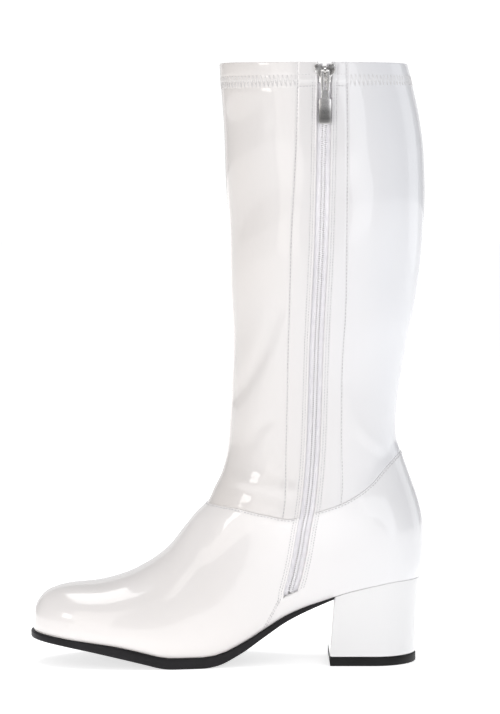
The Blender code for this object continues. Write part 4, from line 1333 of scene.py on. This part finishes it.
def metal(name, dark, light, rough=0.16):
    material, shader = principled(name, light, rough, metallic=1.0)
    vary(material, shader, noise(material, 260.0), dark, light, 0.4, 0.6)
    bump(material, shader, noise(material, 700.0, 2.0), 0.00003, 0.35)
    return material


def shade_down(material):
    """Painted shading that darkens down the tab, for the dark room that the photo's tab mirrors."""
    nodes, links = tree(material)
    start = -PULL_LOOP_LENGTH - PULL_NECK_LENGTH
    ramp = nodes.new("ShaderNodeValToRGB")
    stops = ((0.0, 0.80), (0.30, 0.62), (0.52, 0.26), (0.80, 0.13), (0.93, 0.20), (1.0, 0.45))
    marks = ramp.color_ramp.elements
    while len(marks) < len(stops):
        marks.new(0.5)
    for mark, (position, grey) in zip(marks, stops):
        mark.position = position
        mark.color = (grey, grey * 0.985, grey * 0.97, 1)
    links.new(object_share(material, "Z", start, start - PULL_TAB_LENGTH), ramp.inputs["Fac"])
    links.new(ramp.outputs["Color"], nodes["Principled BSDF"].inputs["Base Color"])


PULL_AXIS = tuple(frame["record"]["behaviour"]["joints"][0]["pos_m"])
thread_white = cloth("pale polyester thread", (0.52, 0.51, 0.52), (0.64, 0.63, 0.64), 3000.0, 0.00005)
tape_white = cloth("white woven zip tape", (0.90, 0.885, 0.92), (0.96, 0.945, 0.97), 1800.0, 0.00006)
coil_white = principled("white nylon coil", (0.95, 0.94, 0.96), 0.35)[0]
nickel = metal("polished nickel", (0.30, 0.29, 0.28), (0.84, 0.83, 0.82))
pull_nickel = metal("polished nickel pull", (0.70, 0.69, 0.68), (0.84, 0.83, 0.82), 0.2)
shade_down(pull_nickel)
hem_thread = cloth("white elastic thread", (0.66, 0.65, 0.65), (0.76, 0.75, 0.75), 3000.0, 0.00005)
stitches, zigzag = add_seams(thread_white, hem_thread)
finish(stitches, None)
finish(zigzag, None)
finish(make_tape("zip_tape_left", -1, tape_white), "zip_tape_front")
finish(make_tape("zip_tape_right", 1, tape_white), "zip_tape_back")
finish(make_teeth(coil_white), "zip_coil")
finish(make_slider(nickel), "zip_slider")
finish(make_pull(pull_nickel), "zip_pull", "pull")


FLOOR_RADIUS = 9
FOCAL_PIXELS, PHOTO_PIXELS_HIGH = 2910, 714
CAMERA_PLACE = (-0.082, -1.94, 0.3415)
CAMERA_TILT_DOWN = 4.06


def area_light(name, place, aim, width, height, power, colour=(1, 1, 1)):
    data = bpy.data.lights.new(name, "AREA")
    data.shape = "RECTANGLE"
    data.size = width
    data.size_y = height
    data.energy = power
    data.color = colour
    light = bpy.data.objects.new(name, data)
    light.location = place
    light.rotation_euler = (Vector(aim) - Vector(place)).to_track_quat("-Z", "Y").to_euler()
    bpy.context.scene.collection.objects.link(light)


def make_stage():
    """A round white floor under a soft white sky, which is brighter to the eye than it lights."""
    turns = [2 * math.pi * i / 96 for i in range(96)]
    points = [(FLOOR_RADIUS * math.cos(a), FLOOR_RADIUS * math.sin(a), 0) for a in turns]
    paper, shader = principled("white studio floor", (0.90, 0.90, 0.90), 0.7)
    shader.inputs["Emission Color"].default_value = (1, 1, 1, 1)
    shader.inputs["Emission Strength"].default_value = 0.69
    merge("studio_floor", points, [list(range(96))], paper)
    world = bpy.data.worlds.new("white studio")
    world.use_nodes = True
    nodes, links = world.node_tree.nodes, world.node_tree.links
    sky = nodes["Background"]
    sky.inputs["Color"].default_value = (0.98, 0.98, 1.0, 1)
    sky.inputs["Strength"].default_value = 0.36
    seen = nodes.new("ShaderNodeBackground")
    seen.inputs["Strength"].default_value = 1.1
    seen.inputs["Color"].default_value = (1, 1, 1, 1)
    path = nodes.new("ShaderNodeLightPath")
    mix = nodes.new("ShaderNodeMixShader")
    links.new(path.outputs["Is Camera Ray"], mix.inputs[0])
    links.new(sky.outputs[0], mix.inputs[1])
    links.new(seen.outputs[0], mix.inputs[2])
    links.new(mix.outputs[0], nodes["World Output"].inputs["Surface"])
    bpy.context.scene.world = world


make_stage()
area_light("left_softbox", (-1.0, -1.75, 0.6), (-0.05, 0.0, 0.2), 0.8, 2.2, 7, (1.0, 0.96, 0.92))
area_light("window_softbox", (-1.5, -1.3, 0.62), (-0.08, 0.0, 0.1), 0.42, 0.5, 3.4, (1.0, 0.98, 0.96))
area_light("right_softbox", (0.85, -1.7, 0.6), (-0.03, 0.0, 0.2), 0.7, 2.2, 7, (0.96, 0.975, 1.0))
area_light("heel_softbox", (1.5, 0.5, 0.5), (0.0, 0.0, 0.15), 0.8, 1.0, 2, (0.95, 0.97, 1.0))
area_light("back_softbox", (-0.1, 1.9, 0.5), (-0.08, 0.0, 0.2), 2.6, 1.0, 3.6)
area_light("top_softbox", (-0.17, 0.2, 1.5), (-0.17, 0.0, 0.05), 1.0, 1.1, 11)
bpy.context.scene.view_settings.view_transform = "Standard"

camera_data = bpy.data.cameras.new("photo_camera")
camera_data.sensor_fit = "VERTICAL"
camera_data.sensor_height = 36
camera_data.lens = camera_data.sensor_height * FOCAL_PIXELS / PHOTO_PIXELS_HIGH
camera = bpy.data.objects.new("photo_camera", camera_data)
camera.location = CAMERA_PLACE
camera.rotation_euler = (math.radians(90 - CAMERA_TILT_DOWN), 0, 0)
bpy.context.scene.collection.objects.link(camera)
bpy.context.scene.camera = camera
